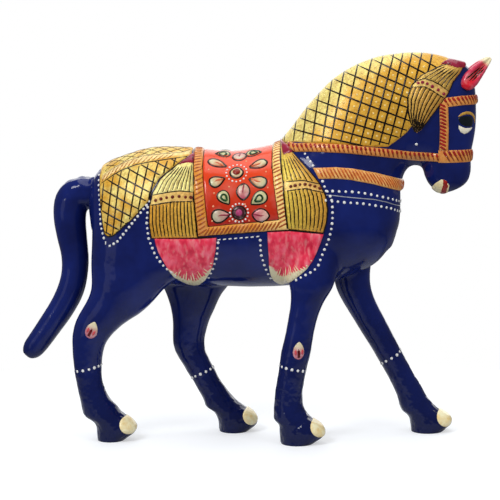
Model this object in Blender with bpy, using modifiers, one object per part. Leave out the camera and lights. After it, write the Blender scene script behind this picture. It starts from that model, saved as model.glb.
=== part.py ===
"""Enamelled cast-metal horse in a walking stance, about 125 mm tall.

The trunk, neck and head are one hollow casting in two halves, joined on the mid-plane. Four
solid legs, the tail and the ears are separate castings with spigots, a tenon and pins. The
trappings are thin raised skins that follow the casting: nets, saddle cloth, tassels and bands.
+X runs towards the head, +Z up, and the horse's right side is at -Y.
"""

import math

import bmesh
import bpy
from mathutils import Matrix, Vector

MM = 0.001

# Casting
WALL = 2.0 * MM  # thickness of the hollow casting
GAP = 0.3 * MM  # clearance between any two pieces
FIGURE_VOXEL = 0.9 * MM  # how finely the fused casting is surfaced
CORE_VOXEL = 1.3 * MM
BLEND_ROUNDS = 8  # smoothing passes that turn the joins into fillets
FIGURE_DETAIL = 0.033  # share of the fused surface's triangles that is kept
CORE_DETAIL = 0.035

# How the castings go together
LEG_JOINT_HEIGHT = 48.5 * MM  # where the legs leave the body
SPIGOT_RADIUS = 2.5 * MM
SPIGOT_LENGTH = 8.0 * MM
SPIGOT_ROOT = 4.0 * MM  # how far a spigot is rooted in its own piece
BOSS_RADIUS = 3.2 * MM
PIN_RADIUS = 1.4 * MM
PIN_LENGTH = 3.0 * MM
TENON_RADIUS = 2.2 * MM
TENON_LENGTH = 7.0 * MM
EAR_PIN_RADIUS = 0.8 * MM
EAR_PIN_LENGTH = 2.5 * MM
EAR_PIN_LEAD = 1.0 * MM  # a socket is drilled from this far outside the head

# Stance: how far each leg's centre line stands from the mid-plane
FORE_LEG_OFFSET = 11.4 * MM
HIND_LEG_OFFSET = 8.6 * MM
LEG_DIVIDE = 2.0 * MM  # from here forward a leg is a fore leg
EAR_OFFSET = 4.6 * MM

# Relief of the trappings above the casting, and how near the mid-plane a one-sided one may come
LEAF = 0.5 * MM  # gold leaf, cloth and enamel caps
BAND = 0.8 * MM  # bands of the bridle, collar and saddle border
TASSEL = 0.9 * MM
POLL_TASSEL = 1.5 * MM
SIDE_START = 1.5 * MM
TIP_START = 11.0 * MM  # the tassel ends lie on the flanks and stop short of the belly

# Widths of the bands
BORDER_WIDTH = 3.1 * MM
REIN_WIDTH = 2.6 * MM
COLLAR_WIDTH = 3.6 * MM
NOSEBAND_WIDTH = 4.0 * MM
BROWBAND_WIDTH = 3.0 * MM
CHEEK_WIDTH = 2.8 * MM

RING_SIDES = 28
SKIN_SOLVER = "MANIFOLD"  # a skin moved out crosses itself in the tightest creases, which stops EXACT
REACH = 0.1  # half the size of a block that takes in the whole figure
TALL = 2 * REACH
MERGE = 0.01 * MM

# Trunk, from the rump to the chest: station, back height, belly height, half width, in mm
TRUNK = (
    (-54.0, 81.5, 72.0, 4.5),
    (-52.4, 85.6, 62.0, 9.0),
    (-49.0, 88.9, 55.0, 13.0),
    (-42.0, 91.9, 51.5, 16.2),
    (-33.0, 94.3, 50.2, 17.8),
    (-21.0, 94.3, 49.8, 18.3),
    (-8.0, 93.2, 49.4, 18.3),
    (3.0, 94.8, 49.4, 18.6),
    (14.0, 97.4, 50.0, 18.8),
    (24.0, 98.6, 50.8, 18.8),
    (33.0, 97.6, 54.0, 17.6),
    (40.0, 94.0, 58.0, 15.4),
    (44.6, 90.0, 64.5, 11.5),
    (47.0, 86.0, 71.0, 6.5),
)

# Neck, from the withers to the poll: crest x and z, throat x and z, half width, in mm
NECK = (
    (5.6, 93.4, 44.2, 62.0, 16.5),
    (11.8, 101.0, 46.8, 71.0, 16.2),
    (18.0, 109.0, 47.2, 79.0, 14.2),
    (25.6, 116.8, 47.8, 85.5, 12.4),
    (35.4, 122.4, 50.2, 89.0, 11.0),
    (45.4, 124.7, 54.0, 89.0, 10.2),
    (54.5, 124.9, 57.5, 90.0, 9.4),
    (62.0, 123.4, 61.0, 93.0, 8.0),
)

# Head, from the poll down to the chin: height, jaw x, face x, half width, in mm
HEAD = (
    (122.0, 58.5, 67.0, 5.0),
    (119.3, 55.5, 69.4, 7.0),
    (114.0, 54.0, 70.7, 8.2),
    (106.0, 53.6, 71.2, 8.4),
    (99.0, 53.4, 70.7, 7.9),
    (93.0, 53.6, 69.6, 7.2),
    (88.0, 54.0, 69.6, 6.8),
    (84.6, 54.9, 69.0, 6.4),
    (82.2, 56.6, 66.8, 5.6),
    (80.4, 58.6, 63.0, 3.6),
)

# Legs, from inside the body down to below the sole: height, back x, front x, half width, in mm
LEG_FORE_RIGHT = (
    (72.0, 12.0, 29.0, 4.5),
    (60.0, 11.0, 28.0, 6.4),
    (53.0, 10.8, 26.2, 6.4),
    (50.0, 11.6, 25.2, 6.0),
    (46.0, 11.7, 22.6, 5.4),
    (41.0, 11.0, 20.6, 4.9),
    (35.0, 10.0, 19.3, 4.6),
    (29.0, 8.6, 18.4, 4.6),
    (23.0, 7.9, 16.9, 4.4),
    (17.0, 6.8, 15.9, 4.4),
    (12.5, 6.6, 15.8, 4.7),
    (9.2, 6.8, 17.4, 5.3),
    (5.8, 7.9, 21.4, 6.1),
    (2.6, 8.5, 22.8, 6.4),
    (0.0, 9.0, 22.2, 6.0),
    (-2.5, 9.4, 21.6, 5.6),
)
LEG_FORE_LEFT = (
    (72.0, 22.0, 37.0, 4.5),
    (60.0, 23.5, 38.0, 6.4),
    (53.0, 25.0, 37.5, 6.2),
    (48.0, 25.9, 37.8, 5.8),
    (43.0, 28.3, 39.6, 5.3),
    (37.5, 31.8, 42.4, 4.9),
    (32.0, 35.2, 45.3, 4.7),
    (26.5, 38.6, 48.2, 4.6),
    (21.0, 41.8, 51.2, 4.4),
    (15.5, 44.8, 54.4, 4.4),
    (11.0, 46.7, 56.8, 4.7),
    (8.0, 48.3, 59.2, 5.3),
    (5.0, 50.0, 63.4, 6.1),
    (2.4, 50.9, 64.8, 6.4),
    (0.0, 51.5, 64.4, 6.0),
    (-2.5, 52.0, 64.0, 5.6),
)
LEG_HIND_RIGHT = (
    (84.0, -47.5, -28.0, 5.5),
    (74.0, -51.5, -22.5, 7.8),
    (64.0, -52.6, -20.0, 8.6),
    (56.0, -52.8, -21.5, 8.4),
    (50.0, -52.7, -28.4, 7.8),
    (46.0, -54.0, -32.0, 7.0),
    (41.5, -56.6, -36.8, 6.2),
    (37.5, -58.4, -42.8, 5.6),
    (32.0, -59.3, -47.8, 5.0),
    (26.0, -58.9, -49.4, 4.6),
    (20.0, -58.2, -49.2, 4.4),
    (14.0, -57.0, -47.2, 4.6),
    (10.0, -56.0, -43.6, 5.2),
    (6.4, -54.8, -39.8, 6.0),
    (3.0, -52.4, -38.2, 6.2),
    (0.0, -51.5, -39.0, 5.8),
    (-2.5, -51.0, -39.6, 5.4),
)
LEG_HIND_LEFT = (
    (84.0, -43.0, -18.0, 5.5),
    (74.0, -45.5, -10.0, 7.8),
    (64.0, -44.0, -6.0, 8.6),
    (56.0, -38.0, -4.5, 8.4),
    (50.0, -32.5, -8.0, 7.6),
    (46.0, -30.2, -11.4, 6.8),
    (41.0, -28.6, -13.8, 6.0),
    (36.0, -28.0, -16.0, 5.3),
    (30.5, -28.0, -17.3, 4.9),
    (26.5, -27.2, -16.8, 4.6),
    (21.0, -24.0, -14.1, 4.4),
    (15.5, -20.5, -11.0, 4.4),
    (10.5, -17.7, -7.2, 4.8),
    (7.4, -16.0, -2.6, 5.6),
    (3.6, -13.6, 0.2, 6.2),
    (0.0, -12.6, -0.4, 5.8),
    (-2.5, -12.0, -1.0, 5.4),
)

# Tail, from inside the rump to its tip: x, z and radius, in mm
TAIL = (
    (-49.5, 79.0, 5.2),
    (-53.5, 79.8, 5.3),
    (-57.4, 79.6, 5.4),
    (-60.0, 77.2, 5.6),
    (-60.7, 72.0, 5.4),
    (-60.1, 66.0, 5.0),
    (-59.2, 60.0, 4.6),
    (-59.2, 54.0, 4.4),
    (-60.6, 48.0, 4.4),
    (-63.6, 42.0, 4.2),
    (-67.3, 36.5, 4.0),
    (-71.2, 31.0, 3.8),
    (-73.7, 27.8, 3.4),
    (-75.2, 25.8, 1.9),
)

# Ear, from its root in the head to its tip: x, z, half width across, half depth, in mm
EAR = (
    (66.8, 114.4, 2.4, 1.8),
    (68.3, 116.2, 2.8, 2.2),
    (70.2, 118.5, 2.7, 2.1),
    (72.2, 120.8, 2.1, 1.7),
    (73.9, 122.6, 1.3, 1.1),
    (74.9, 123.6, 0.5, 0.5),
)

# Side-view outlines of the trappings, x and z in mm
CROUP_NET = (
    (-49.6, 90.2), (-49.8, 85.5), (-49.2, 78.6), (-48.5, 72.7), (-47.6, 67.9), (-46.4, 66.8),
    (-44.5, 67.2), (-40.7, 70.6), (-36.6, 74.7), (-33.0, 78.6), (-32.2, 81.6), (-29.8, 85.7),
    (-25.8, 89.0), (-21.6, 92.4), (-21.0, 99.0), (-46.0, 99.0),
)
TASSEL_REAR = (
    (-20.6, 92.4), (-22.6, 91.3), (-25.5, 89.0), (-29.5, 85.4), (-31.9, 81.0), (-32.8, 76.9),
    (-32.9, 71.6), (-32.2, 66.8), (-17.6, 67.1), (-18.8, 81.0), (-19.6, 92.4),
)
TIP_REAR = (
    (-31.2, 66.4), (-29.6, 61.7), (-26.2, 56.6), (-22.3, 52.9), (-18.8, 51.5), (-16.2, 52.1),
    (-13.5, 55.7), (-11.8, 61.0), (-11.5, 66.9), (-17.2, 66.5),
)
TASSEL_FRONT = (
    (8.9, 96.4), (9.9, 90.0), (11.0, 79.7), (11.7, 70.1), (16.7, 69.5), (22.4, 68.9),
    (23.3, 72.1), (23.7, 76.2), (23.0, 80.7), (21.2, 84.2), (19.2, 86.7), (15.7, 90.4),
    (12.6, 93.6), (10.8, 96.4),
)
TIP_FRONT = (
    (4.8, 68.9), (11.4, 69.3), (22.4, 68.3), (21.3, 64.6), (19.3, 60.5), (15.8, 56.4),
    (11.8, 53.6), (8.7, 53.0), (5.6, 57.4), (4.8, 64.0),
)
MANE_NET = (
    (9.4, 96.6), (12.6, 97.6), (15.9, 97.5), (29.2, 97.0), (39.3, 96.2), (42.6, 96.2),
    (46.2, 98.2), (48.6, 100.2), (48.4, 109.1), (49.0, 114.2), (51.3, 117.5), (57.0, 121.2),
    (62.0, 122.6), (60.0, 130.0), (20.0, 130.0), (2.0, 103.0),
)
TASSEL_POLL = (
    (66.3, 120.8), (62.4, 122.0), (58.8, 121.0), (53.3, 118.3), (50.2, 115.2), (48.8, 111.2),
    (48.9, 107.0), (49.9, 103.0), (51.7, 100.0), (53.2, 101.0), (56.5, 105.6), (59.3, 109.2),
    (61.4, 112.4), (63.1, 116.2), (65.2, 118.7),
)
SADDLE_BACK_EDGE = ((-20.2, 97.0), (-19.0, 84.4), (-17.3, 67.4))
SADDLE_FRONT_EDGE = ((8.0, 99.0), (9.6, 84.3), (11.4, 69.8))
REIN_LINE = (
    (13.6, 94.6), (17.0, 95.3), (21.6, 95.4), (29.2, 95.1), (39.3, 94.0), (49.4, 92.6), (58.4, 91.9),
)
COLLAR_LINE = ((20.8, 87.5), (26.0, 87.6), (31.0, 87.2), (38.5, 85.7), (43.0, 84.4), (50.0, 82.2))
BROWBAND_LINE = ((60.8, 109.6), (66.0, 110.2), (75.0, 110.6))
NOSEBAND_LINE = ((58.8, 92.3), (64.0, 92.4), (74.0, 92.6))
CHEEK_LINE = ((60.2, 107.9), (60.6, 101.0), (60.4, 94.9))
HOOF_CAP_SIZE = (6.0 * MM, 6.4 * MM)  # length along the foot and height of a cream toe cap
HOOF_CAP_LIFT = 4.9 * MM  # height of a cap's centre above the sole
EYE_CENTRE = (67.6, 102.6)
EYE_SIZE = (5.2 * MM, 4.6 * MM)
MOUTH = ((56.6, 84.0), (55.0, 80.0), (59.0, 77.0), (63.0, 79.0), (62.4, 83.0), (59.5, 84.4))

BOSS_PLACES = ((-38.0, 76.0), (26.0, 76.0), (38.0, 108.0))  # x and z of the locating pins, in mm
SIDE = {"right": -1, "left": 1}


def clear_scene():
    for obj in list(bpy.data.objects):
        bpy.data.objects.remove(obj, do_unlink=True)


clear_scene()
PARTS = bpy.data.collections.new("horse_statue")
HELPERS = bpy.data.collections.new("cutters")
HELPERS.hide_render = True
for collection in (PARTS, HELPERS):
    bpy.context.scene.collection.children.link(collection)


def helper(name, mesh):
    """A cutter or a stage of the work, which isn't a piece of the horse."""
    obj = bpy.data.objects.new(name, mesh)
    HELPERS.objects.link(obj)
    obj.hide_render = True
    obj.display_type = "WIRE"
    return obj


def finished(obj):
    """The object's shape with its modifiers carried out, as a new mesh."""
    graph = bpy.context.evaluated_depsgraph_get()
    mesh = bpy.data.meshes.new_from_object(obj.evaluated_get(graph))
    mesh.transform(obj.matrix_world)
    return mesh


def mesh_of(name, bm):
    mesh = bpy.data.meshes.new(name)
    bm.to_mesh(mesh)
    bm.free()
    return mesh


def loft(name, rings, sides=RING_SIDES):
    """A closed skin over ellipses, each given as its centre and its two half axes."""
    bm = bmesh.new()
    loops = []
    for centre, across, along in rings:
        circle = bmesh.ops.create_circle(bm, segments=sides, radius=1.0)["verts"]
        for vert in circle:
            vert.co = centre + across * vert.co.x + along * vert.co.y
        loops.append(sorted({edge for vert in circle for edge in vert.link_edges}, key=lambda e: e.index))
        bm.edges.index_update()
    for first, second in zip(loops, loops[1:]):
        bmesh.ops.bridge_loops(bm, edges=first + second)
    for end in (loops[0], loops[-1]):
        bmesh.ops.contextual_create(bm, geom=end)
    bmesh.ops.recalc_face_normals(bm, faces=bm.faces)
    return helper(name, mesh_of(name, bm))


def fuse(name, pieces, voxel, detail):
    """Overlapping closed skins made one smooth skin with light facets."""
    bm = bmesh.new()
    for piece in pieces:
        bm.from_mesh(piece.data)
    fused = helper(name, mesh_of(name, bm))
    remesh = fused.modifiers.new("one_skin", "REMESH")
    remesh.mode = "VOXEL"
    remesh.voxel_size = voxel
    blend = fused.modifiers.new("fillets", "SMOOTH")
    blend.factor = 0.5
    blend.iterations = BLEND_ROUNDS
    lighten = fused.modifiers.new("light_facets", "DECIMATE")
    lighten.ratio = detail
    return helper(name + "_skin", finished(fused))


def cut(obj, other, operation="DIFFERENCE", solver="EXACT"):
    """Carries out a Boolean with the other object."""
    step = obj.modifiers.new(operation.lower(), "BOOLEAN")
    step.operation = operation
    step.solver = solver
    step.object = other
    old, obj.data = obj.data, finished(obj)
    obj.modifiers.clear()
    bpy.data.meshes.remove(old)
    return obj


def copy_of(obj, name):
    return helper(name, obj.data.copy())


def swollen(obj, distance, name):
    """The same skin moved out by a distance all over."""
    grown = copy_of(obj, name)
    swell = grown.modifiers.new("swell", "DISPLACE")
    swell.mid_level = 0
    swell.strength = distance
    grown.data = finished(grown)
    grown.modifiers.clear()
    return grown


def block(name, low, high):
    bm = bmesh.new()
    bmesh.ops.create_cube(bm, size=1.0)
    low, high = Vector(low), Vector(high)
    bmesh.ops.scale(bm, vec=high - low, verts=bm.verts)
    bmesh.ops.translate(bm, vec=(low + high) / 2, verts=bm.verts)
    return helper(name, mesh_of(name, bm))


def rod(name, start, direction, length, radius, sides=16):
    """A plain cylinder from a start point along a direction."""
    direction = Vector(direction).normalized()
    bm = bmesh.new()
    bmesh.ops.create_cone(
        bm, cap_ends=True, segments=sides, radius1=radius, radius2=radius, depth=length,
        matrix=Matrix.Translation(Vector(start) + direction * length / 2)
        @ direction.to_track_quat("Z", "Y").to_matrix().to_4x4(),
    )
    return helper(name, mesh_of(name, bm))


def slab(name, outline, low, high):
    """A side-view outline, in metres, pushed through the figure from low to high across it."""
    curve = bpy.data.curves.new(name, "CURVE")
    curve.dimensions = "2D"
    curve.fill_mode = "BOTH"
    curve.extrude = (high - low) / 2
    line = curve.splines.new("POLY")
    line.points.add(len(outline) - 1)
    for point, (x, z) in zip(line.points, outline):
        point.co = (x, z, 0, 1)
    line.use_cyclic_u = True
    drawn = bpy.data.objects.new(name, curve)
    HELPERS.objects.link(drawn)
    upright = Matrix.Translation((0, (low + high) / 2, 0)) @ Matrix.Rotation(math.pi / 2, 4, "X")
    mesh = finished(drawn)
    bpy.data.objects.remove(drawn)
    bm = bmesh.new()
    bm.from_mesh(mesh)
    bmesh.ops.remove_doubles(bm, verts=bm.verts, dist=MERGE)
    bm.transform(upright)
    bmesh.ops.recalc_face_normals(bm, faces=bm.faces)
    bpy.data.meshes.remove(mesh)
    return helper(name, mesh_of(name, bm))


def metres(points):
    return [tuple(value * MM for value in point) for point in points]


def swept_outline(line, width):
    """The outline of a band of one width that follows a line, both in metres."""
    line = [Vector(point) for point in line]
    above, below = [], []
    for i, point in enumerate(line):
        before, after = line[max(i - 1, 0)], line[min(i + 1, len(line) - 1)]
        run = (after - before).normalized()
        side = Vector((-run.y, run.x)) * width / 2
        above.append(point + side)
        below.append(point - side)
    return [tuple(p) for p in above + below[::-1]]


def grown_outline(outline, distance):
    """The outline moved out by a distance, with its corners kept."""
    points = [Vector(point) for point in outline]
    turn = sum(a.x * b.y - b.x * a.y for a, b in zip(points, points[1:] + points[:1]))
    distance = distance if turn > 0 else -distance
    moved = []
    for i, point in enumerate(points):
        into = (point - points[i - 1]).normalized()
        out = (points[(i + 1) % len(points)] - point).normalized()
        normals = Vector((into.y, -into.x)), Vector((out.y, -out.x))
        middle = (normals[0] + normals[1]).normalized()
        moved.append(tuple(point + middle * distance / max(middle.dot(normals[0]), 0.5)))
    return moved


def oval_outline(centre, size, sides=20):
    turns = [2 * math.pi * i / sides for i in range(sides)]
    return [(centre[0] + size[0] / 2 * math.cos(t), centre[1] + size[1] / 2 * math.sin(t)) for t in turns]


def largest_body(mesh):
    """Drops the crumbs that a cut leaves beside the piece itself."""
    bm = bmesh.new()
    bm.from_mesh(mesh)
    left = set(bm.verts)
    bodies = []
    while left:
        body, edge_of_body = set(), [left.pop()]
        while edge_of_body:
            vert = edge_of_body.pop()
            body.add(vert)
            near = {edge.other_vert(vert) for edge in vert.link_edges} & left
            left -= near
            edge_of_body += near
        bodies.append(body)
    main = max(bodies, key=len)
    bmesh.ops.delete(bm, geom=[v for v in bm.verts if v not in main], context="VERTS")
    bm.to_mesh(mesh)
    bm.free()


def material(name, colour, roughness, metallic=0.0):
    found = bpy.data.materials.get(name)
    if found:
        return found
    made = bpy.data.materials.new(name)
    made.use_nodes = True
    shader = made.node_tree.nodes["Principled BSDF"]
    shader.inputs["Base Color"].default_value = (*colour, 1.0)
    shader.inputs["Roughness"].default_value = roughness
    shader.inputs["Metallic"].default_value = metallic
    return made


def piece(name, source, finish):
    """Files a finished shape as one named piece of the horse."""
    obj = bpy.data.objects.new(name, finished(source))
    largest_body(obj.data)
    PARTS.objects.link(obj)
    obj.data.materials.clear()
    obj.data.materials.append(finish)
    obj.data.shade_smooth()
    obj.data.set_sharp_from_angle(angle=math.radians(40))
    return obj


BLUE = material("blue_enamel", (0.010, 0.014, 0.115), 0.12)
GOLD = material("gold_leaf", (0.80, 0.55, 0.18), 0.35, 0.6)
ORANGE = material("orange_band", (0.75, 0.28, 0.06), 0.3)
RED = material("red_cloth", (0.62, 0.05, 0.02), 0.3)
PINK = material("pink_tip", (0.68, 0.09, 0.14), 0.25)
CREAM = material("cream_enamel", (0.86, 0.78, 0.55), 0.3)


def trunk_rings(inset=0.0):
    rows = metres(TRUNK)
    middle = len(rows) / 2
    for i, (x, back, belly, half) in enumerate(rows):
        shift = inset if i < middle else -inset
        centre = Vector((x + shift, 0, (back + belly) / 2))
        yield centre, Vector((0, half - inset, 0)), Vector((0, 0, (back - belly) / 2 - inset))


def neck_rings(inset=0.0):
    for crest_x, crest_z, throat_x, throat_z, half in metres(NECK):
        crest, throat = Vector((crest_x, 0, crest_z)), Vector((throat_x, 0, throat_z))
        reach = (throat - crest) / 2
        reach -= reach.normalized() * inset
        yield (crest + throat) / 2, Vector((0, half - inset, 0)), reach


def head_rings():
    for z, jaw, face, half in metres(HEAD):
        yield Vector(((jaw + face) / 2, 0, z)), Vector((0, half, 0)), Vector(((face - jaw) / 2, 0, 0))


def leg_rings(rows, y):
    for z, back, front, half in metres(rows):
        yield Vector(((back + front) / 2, y, z)), Vector((0, half, 0)), Vector(((front - back) / 2, 0, 0))


def tail_rings():
    rows = metres(TAIL)
    for i, (x, z, radius) in enumerate(rows):
        before, after = rows[max(i - 1, 0)], rows[min(i + 1, len(rows) - 1)]
        run = Vector((after[0] - before[0], 0, after[1] - before[1])).normalized()
        yield Vector((x, 0, z)), Vector((0, radius, 0)), Vector((-run.z, 0, run.x)) * radius


def ear_rings(side):
    rows = metres(EAR)
    run = Vector((rows[-1][0] - rows[0][0], 0, rows[-1][1] - rows[0][1])).normalized()
    for x, z, half, depth in rows:
        yield Vector((x, side * EAR_OFFSET, z)), Vector((0, depth, 0)), Vector((-run.z, 0, run.x)) * half


LEGS = {
    "leg_fore_right": (LEG_FORE_RIGHT, -FORE_LEG_OFFSET),
    "leg_fore_left": (LEG_FORE_LEFT, FORE_LEG_OFFSET),
    "leg_hind_right": (LEG_HIND_RIGHT, -HIND_LEG_OFFSET),
    "leg_hind_left": (LEG_HIND_LEFT, HIND_LEG_OFFSET),
}


def section_at(rows, height):
    """Back and front of a leg at a height, between its sections."""
    for upper, lower in zip(rows, rows[1:]):
        if lower[0] <= height / MM <= upper[0]:
            share = (height / MM - lower[0]) / (upper[0] - lower[0])
            return [(a * share + b * (1 - share)) * MM for a, b in zip(upper[1:], lower[1:])]
    raise ValueError("no leg section at this height")


# The casting, fused from its main forms, and the hollow inside it
limbs = [loft(name + "_form", leg_rings(rows, y)) for name, (rows, y) in LEGS.items()]
trunk = loft("trunk", trunk_rings())
neck = loft("neck", neck_rings())
head = loft("head", head_rings())
figure = fuse("figure", [trunk, neck, head, *limbs], FIGURE_VOXEL, FIGURE_DETAIL)
core = fuse(
    "core", [loft("trunk_core", trunk_rings(WALL)), loft("neck_core", list(neck_rings(WALL))[:-1])],
    CORE_VOXEL, CORE_DETAIL,
)

below_joint = block("below_joint", (-REACH, -REACH, -REACH), (REACH, REACH, LEG_JOINT_HEIGHT + GAP / 2))

# Body halves, with solid metal left in the hollow for the bosses and round the legs' sockets
for i, (x, z) in enumerate(metres(BOSS_PLACES)):
    cut(core, rod(f"boss_{i}", (x, -REACH, z), (0, 1, 0), TALL, BOSS_RADIUS))
spigots, sockets = {}, []
for name, (rows, y) in LEGS.items():
    back, front, _ = section_at(rows, LEG_JOINT_HEIGHT)
    foot = Vector(((back + front) / 2, y, LEG_JOINT_HEIGHT - SPIGOT_ROOT))
    length, drill, bore = SPIGOT_ROOT + SPIGOT_LENGTH, SPIGOT_ROOT + SPIGOT_LENGTH + GAP, SPIGOT_RADIUS + GAP
    spigots[name] = rod(name + "_spigot", foot, (0, 0, 1), length, SPIGOT_RADIUS)
    sockets.append(rod(name + "_socket", foot, (0, 0, 1), drill, bore))
    cut(core, rod(name + "_pad", foot, (0, 0, 1), drill + WALL, bore + WALL))
body = copy_of(figure, "body")
cut(body, core)
cut(body, below_joint)
for socket in sockets:
    cut(body, socket)

tail_root = Vector((TAIL[1][0] * MM, 0, TAIL[1][1] * MM))
tenon_start = tail_root - Vector((SPIGOT_ROOT, 0, 0))
tenon = rod("tail_tenon", tenon_start, (1, 0, 0), SPIGOT_ROOT + TENON_LENGTH, TENON_RADIUS)
cut(body, rod("tail_socket", tenon_start, (1, 0, 0), SPIGOT_ROOT + TENON_LENGTH + GAP, TENON_RADIUS + GAP))

ear_run = Vector((EAR[0][0] - EAR[1][0], 0, EAR[0][1] - EAR[1][1])).normalized()
ear_pins = {}
for hand, side in SIDE.items():
    root = Vector((EAR[1][0] * MM, side * EAR_OFFSET, EAR[1][1] * MM))
    reach = EAR_PIN_LENGTH + (Vector(metres(EAR)[1][:2]) - Vector(metres(EAR)[0][:2])).length
    ear_pins[hand] = rod(f"ear_pin_{hand}", root, ear_run, reach, EAR_PIN_RADIUS)
    mouth_of_socket = root - ear_run * EAR_PIN_LEAD
    drill = EAR_PIN_LEAD + reach + GAP
    cut(body, rod(f"ear_socket_{hand}", mouth_of_socket, ear_run, drill, EAR_PIN_RADIUS + GAP))

for hand, side in SIDE.items():
    half = copy_of(body, f"half_{hand}")
    inner, outer = sorted((side * GAP / 2, side * REACH))
    cut(half, block(f"{hand}_space", (-REACH, inner, -REACH), (REACH, outer, TALL)), "INTERSECT")
    for i, (x, z) in enumerate(metres(BOSS_PLACES)):
        if hand == "right":
            pin = rod(f"pin_{i}", (x, -SPIGOT_ROOT, z), (0, 1, 0), SPIGOT_ROOT + PIN_LENGTH, PIN_RADIUS)
            cut(half, pin, "UNION")
        else:
            hole = rod(f"hole_{i}", (x, -GAP, z), (0, 1, 0), PIN_LENGTH + 2 * GAP, PIN_RADIUS + GAP)
            cut(half, hole)
    piece(f"body_shell_{hand}", half, BLUE)

# Legs, each with its spigot
for name, (rows, y) in LEGS.items():
    low, high = sorted((0.0, math.copysign(REACH, y)))
    back, front = sorted((math.copysign(REACH, rows[0][1]), LEG_DIVIDE))
    own_quarter = block(name + "_quarter", (back, low, 0), (front, high, LEG_JOINT_HEIGHT - GAP / 2))
    leg = copy_of(figure, name + "_casting")
    cut(leg, own_quarter, "INTERSECT")
    cut(leg, spigots[name], "UNION")
    piece(name, leg, BLUE)

# Tail and ears, shaped to the casting where they meet it
clear_of_casting = swollen(figure, GAP, "clear_of_casting")
tail = loft("tail_form", tail_rings(), 16)
cut(tail, clear_of_casting, solver=SKIN_SOLVER)
cut(tail, tenon, "UNION")
piece("tail", tail, BLUE)
for hand, side in SIDE.items():
    ear = loft(f"ear_form_{hand}", ear_rings(side), 12)
    cut(ear, clear_of_casting, solver=SKIN_SOLVER)
    cut(ear, ear_pins[hand], "UNION")
    piece(f"ear_{hand}", ear, PINK)


skins = {}


def skin(thickness):
    """A layer of one thickness that lies on the casting all over."""
    if thickness not in skins:
        layer = swollen(figure, GAP + thickness, f"layer_{len(skins)}")
        cut(layer, clear_of_casting, solver=SKIN_SOLVER)
        skins[thickness] = layer
    return skins[thickness]


def trapping(name, outline, thickness, finish, hand="both", around=(), start=SIDE_START):
    """A raised skin inside a side-view outline, clear of the outlines it lies between."""
    low, high = -REACH, REACH
    if hand != "both":
        low, high = sorted((SIDE[hand] * start, SIDE[hand] * REACH))
    layer = copy_of(skin(thickness), name + "_layer")
    cut(layer, slab(name + "_outline", outline, low, high), "INTERSECT", SKIN_SOLVER)
    for i, other in enumerate(around):
        clearance = slab(f"{name}_clearance_{i}", grown_outline(other, GAP), -REACH, REACH)
        cut(layer, clearance, solver=SKIN_SOLVER)
    return piece(name, layer, finish)


# Saddle: the border runs over the back in two strips, joined by a hem on each side
back_edge, front_edge = metres(SADDLE_BACK_EDGE), metres(SADDLE_FRONT_EDGE)
saddle = back_edge + front_edge[::-1]
cloth_low = [
    (back_edge[-1][0] + BORDER_WIDTH, back_edge[-1][1] + BORDER_WIDTH),
    (front_edge[-1][0] - BORDER_WIDTH, front_edge[-1][1] + BORDER_WIDTH),
]
cloth = [
    (back_edge[0][0] + BORDER_WIDTH, back_edge[0][1] + BORDER_WIDTH),
    (back_edge[1][0] + BORDER_WIDTH, back_edge[1][1]),
    *cloth_low,
    (front_edge[1][0] - BORDER_WIDTH, front_edge[1][1]),
    (front_edge[0][0] - BORDER_WIDTH, front_edge[0][1] + BORDER_WIDTH),
]
trapping("saddle_border", saddle, BAND, ORANGE, around=[cloth])
trapping("saddle_cloth", grown_outline(cloth, -GAP / 2), LEAF, RED)

# Tassels and nets
tassel_poll = metres(TASSEL_POLL)
rein = swept_outline(metres(REIN_LINE), REIN_WIDTH)
collar = swept_outline(metres(COLLAR_LINE), COLLAR_WIDTH)
noseband = swept_outline(metres(NOSEBAND_LINE), NOSEBAND_WIDTH)
browband = swept_outline(metres(BROWBAND_LINE), BROWBAND_WIDTH)
cheek = swept_outline(metres(CHEEK_LINE), CHEEK_WIDTH)
tassels = {
    "rear": (metres(TASSEL_REAR), metres(TIP_REAR)),
    "front": (metres(TASSEL_FRONT), metres(TIP_FRONT)),
}
for hand in SIDE:
    for place, (gold, tip) in tassels.items():
        trapping(f"tassel_{place}_{hand}", gold, TASSEL, GOLD, hand, around=[saddle])
        trapping(f"tassel_tip_{place}_{hand}", tip, TASSEL, PINK, hand, around=[saddle, gold], start=TIP_START)
    trapping(f"tassel_poll_{hand}", tassel_poll, POLL_TASSEL, GOLD, hand)
    trapping(f"rein_{hand}", rein, BAND, ORANGE, hand, around=[tassels["front"][0], noseband])
    trapping(f"cheek_strap_{hand}", cheek, BAND, ORANGE, hand, around=[browband, noseband, tassel_poll])
trapping("croup_net", metres(CROUP_NET), LEAF, GOLD, around=[tassels["rear"][0], saddle])
trapping("mane_net", metres(MANE_NET), LEAF, GOLD, around=[tassel_poll, rein, saddle, tassels["front"][0]])
trapping("breast_collar", collar, BAND, ORANGE, around=[tassels["front"][0]])
trapping("noseband", noseband, BAND, ORANGE)
trapping("browband", browband, BAND, ORANGE, around=[tassel_poll])

# Enamel on the head and the hooves
mouth = metres(MOUTH)
trapping("mouth", mouth, LEAF, CREAM)
for hand in SIDE:
    trapping(f"eye_{hand}", oval_outline(metres([EYE_CENTRE])[0], EYE_SIZE), LEAF, CREAM, hand)
for name, (rows, y) in LEGS.items():
    toe = section_at(rows, HOOF_CAP_LIFT)[1]
    oval = oval_outline((toe - HOOF_CAP_SIZE[0] / 2, HOOF_CAP_LIFT), HOOF_CAP_SIZE)
    wide = [(x + max(0, x - toe + HOOF_CAP_SIZE[0] / 2), z) for x, z in oval]
    hand = name.split("_")[-1]
    trapping(name.replace("leg", "hoof_cap"), wide, LEAF, CREAM, hand)

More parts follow.
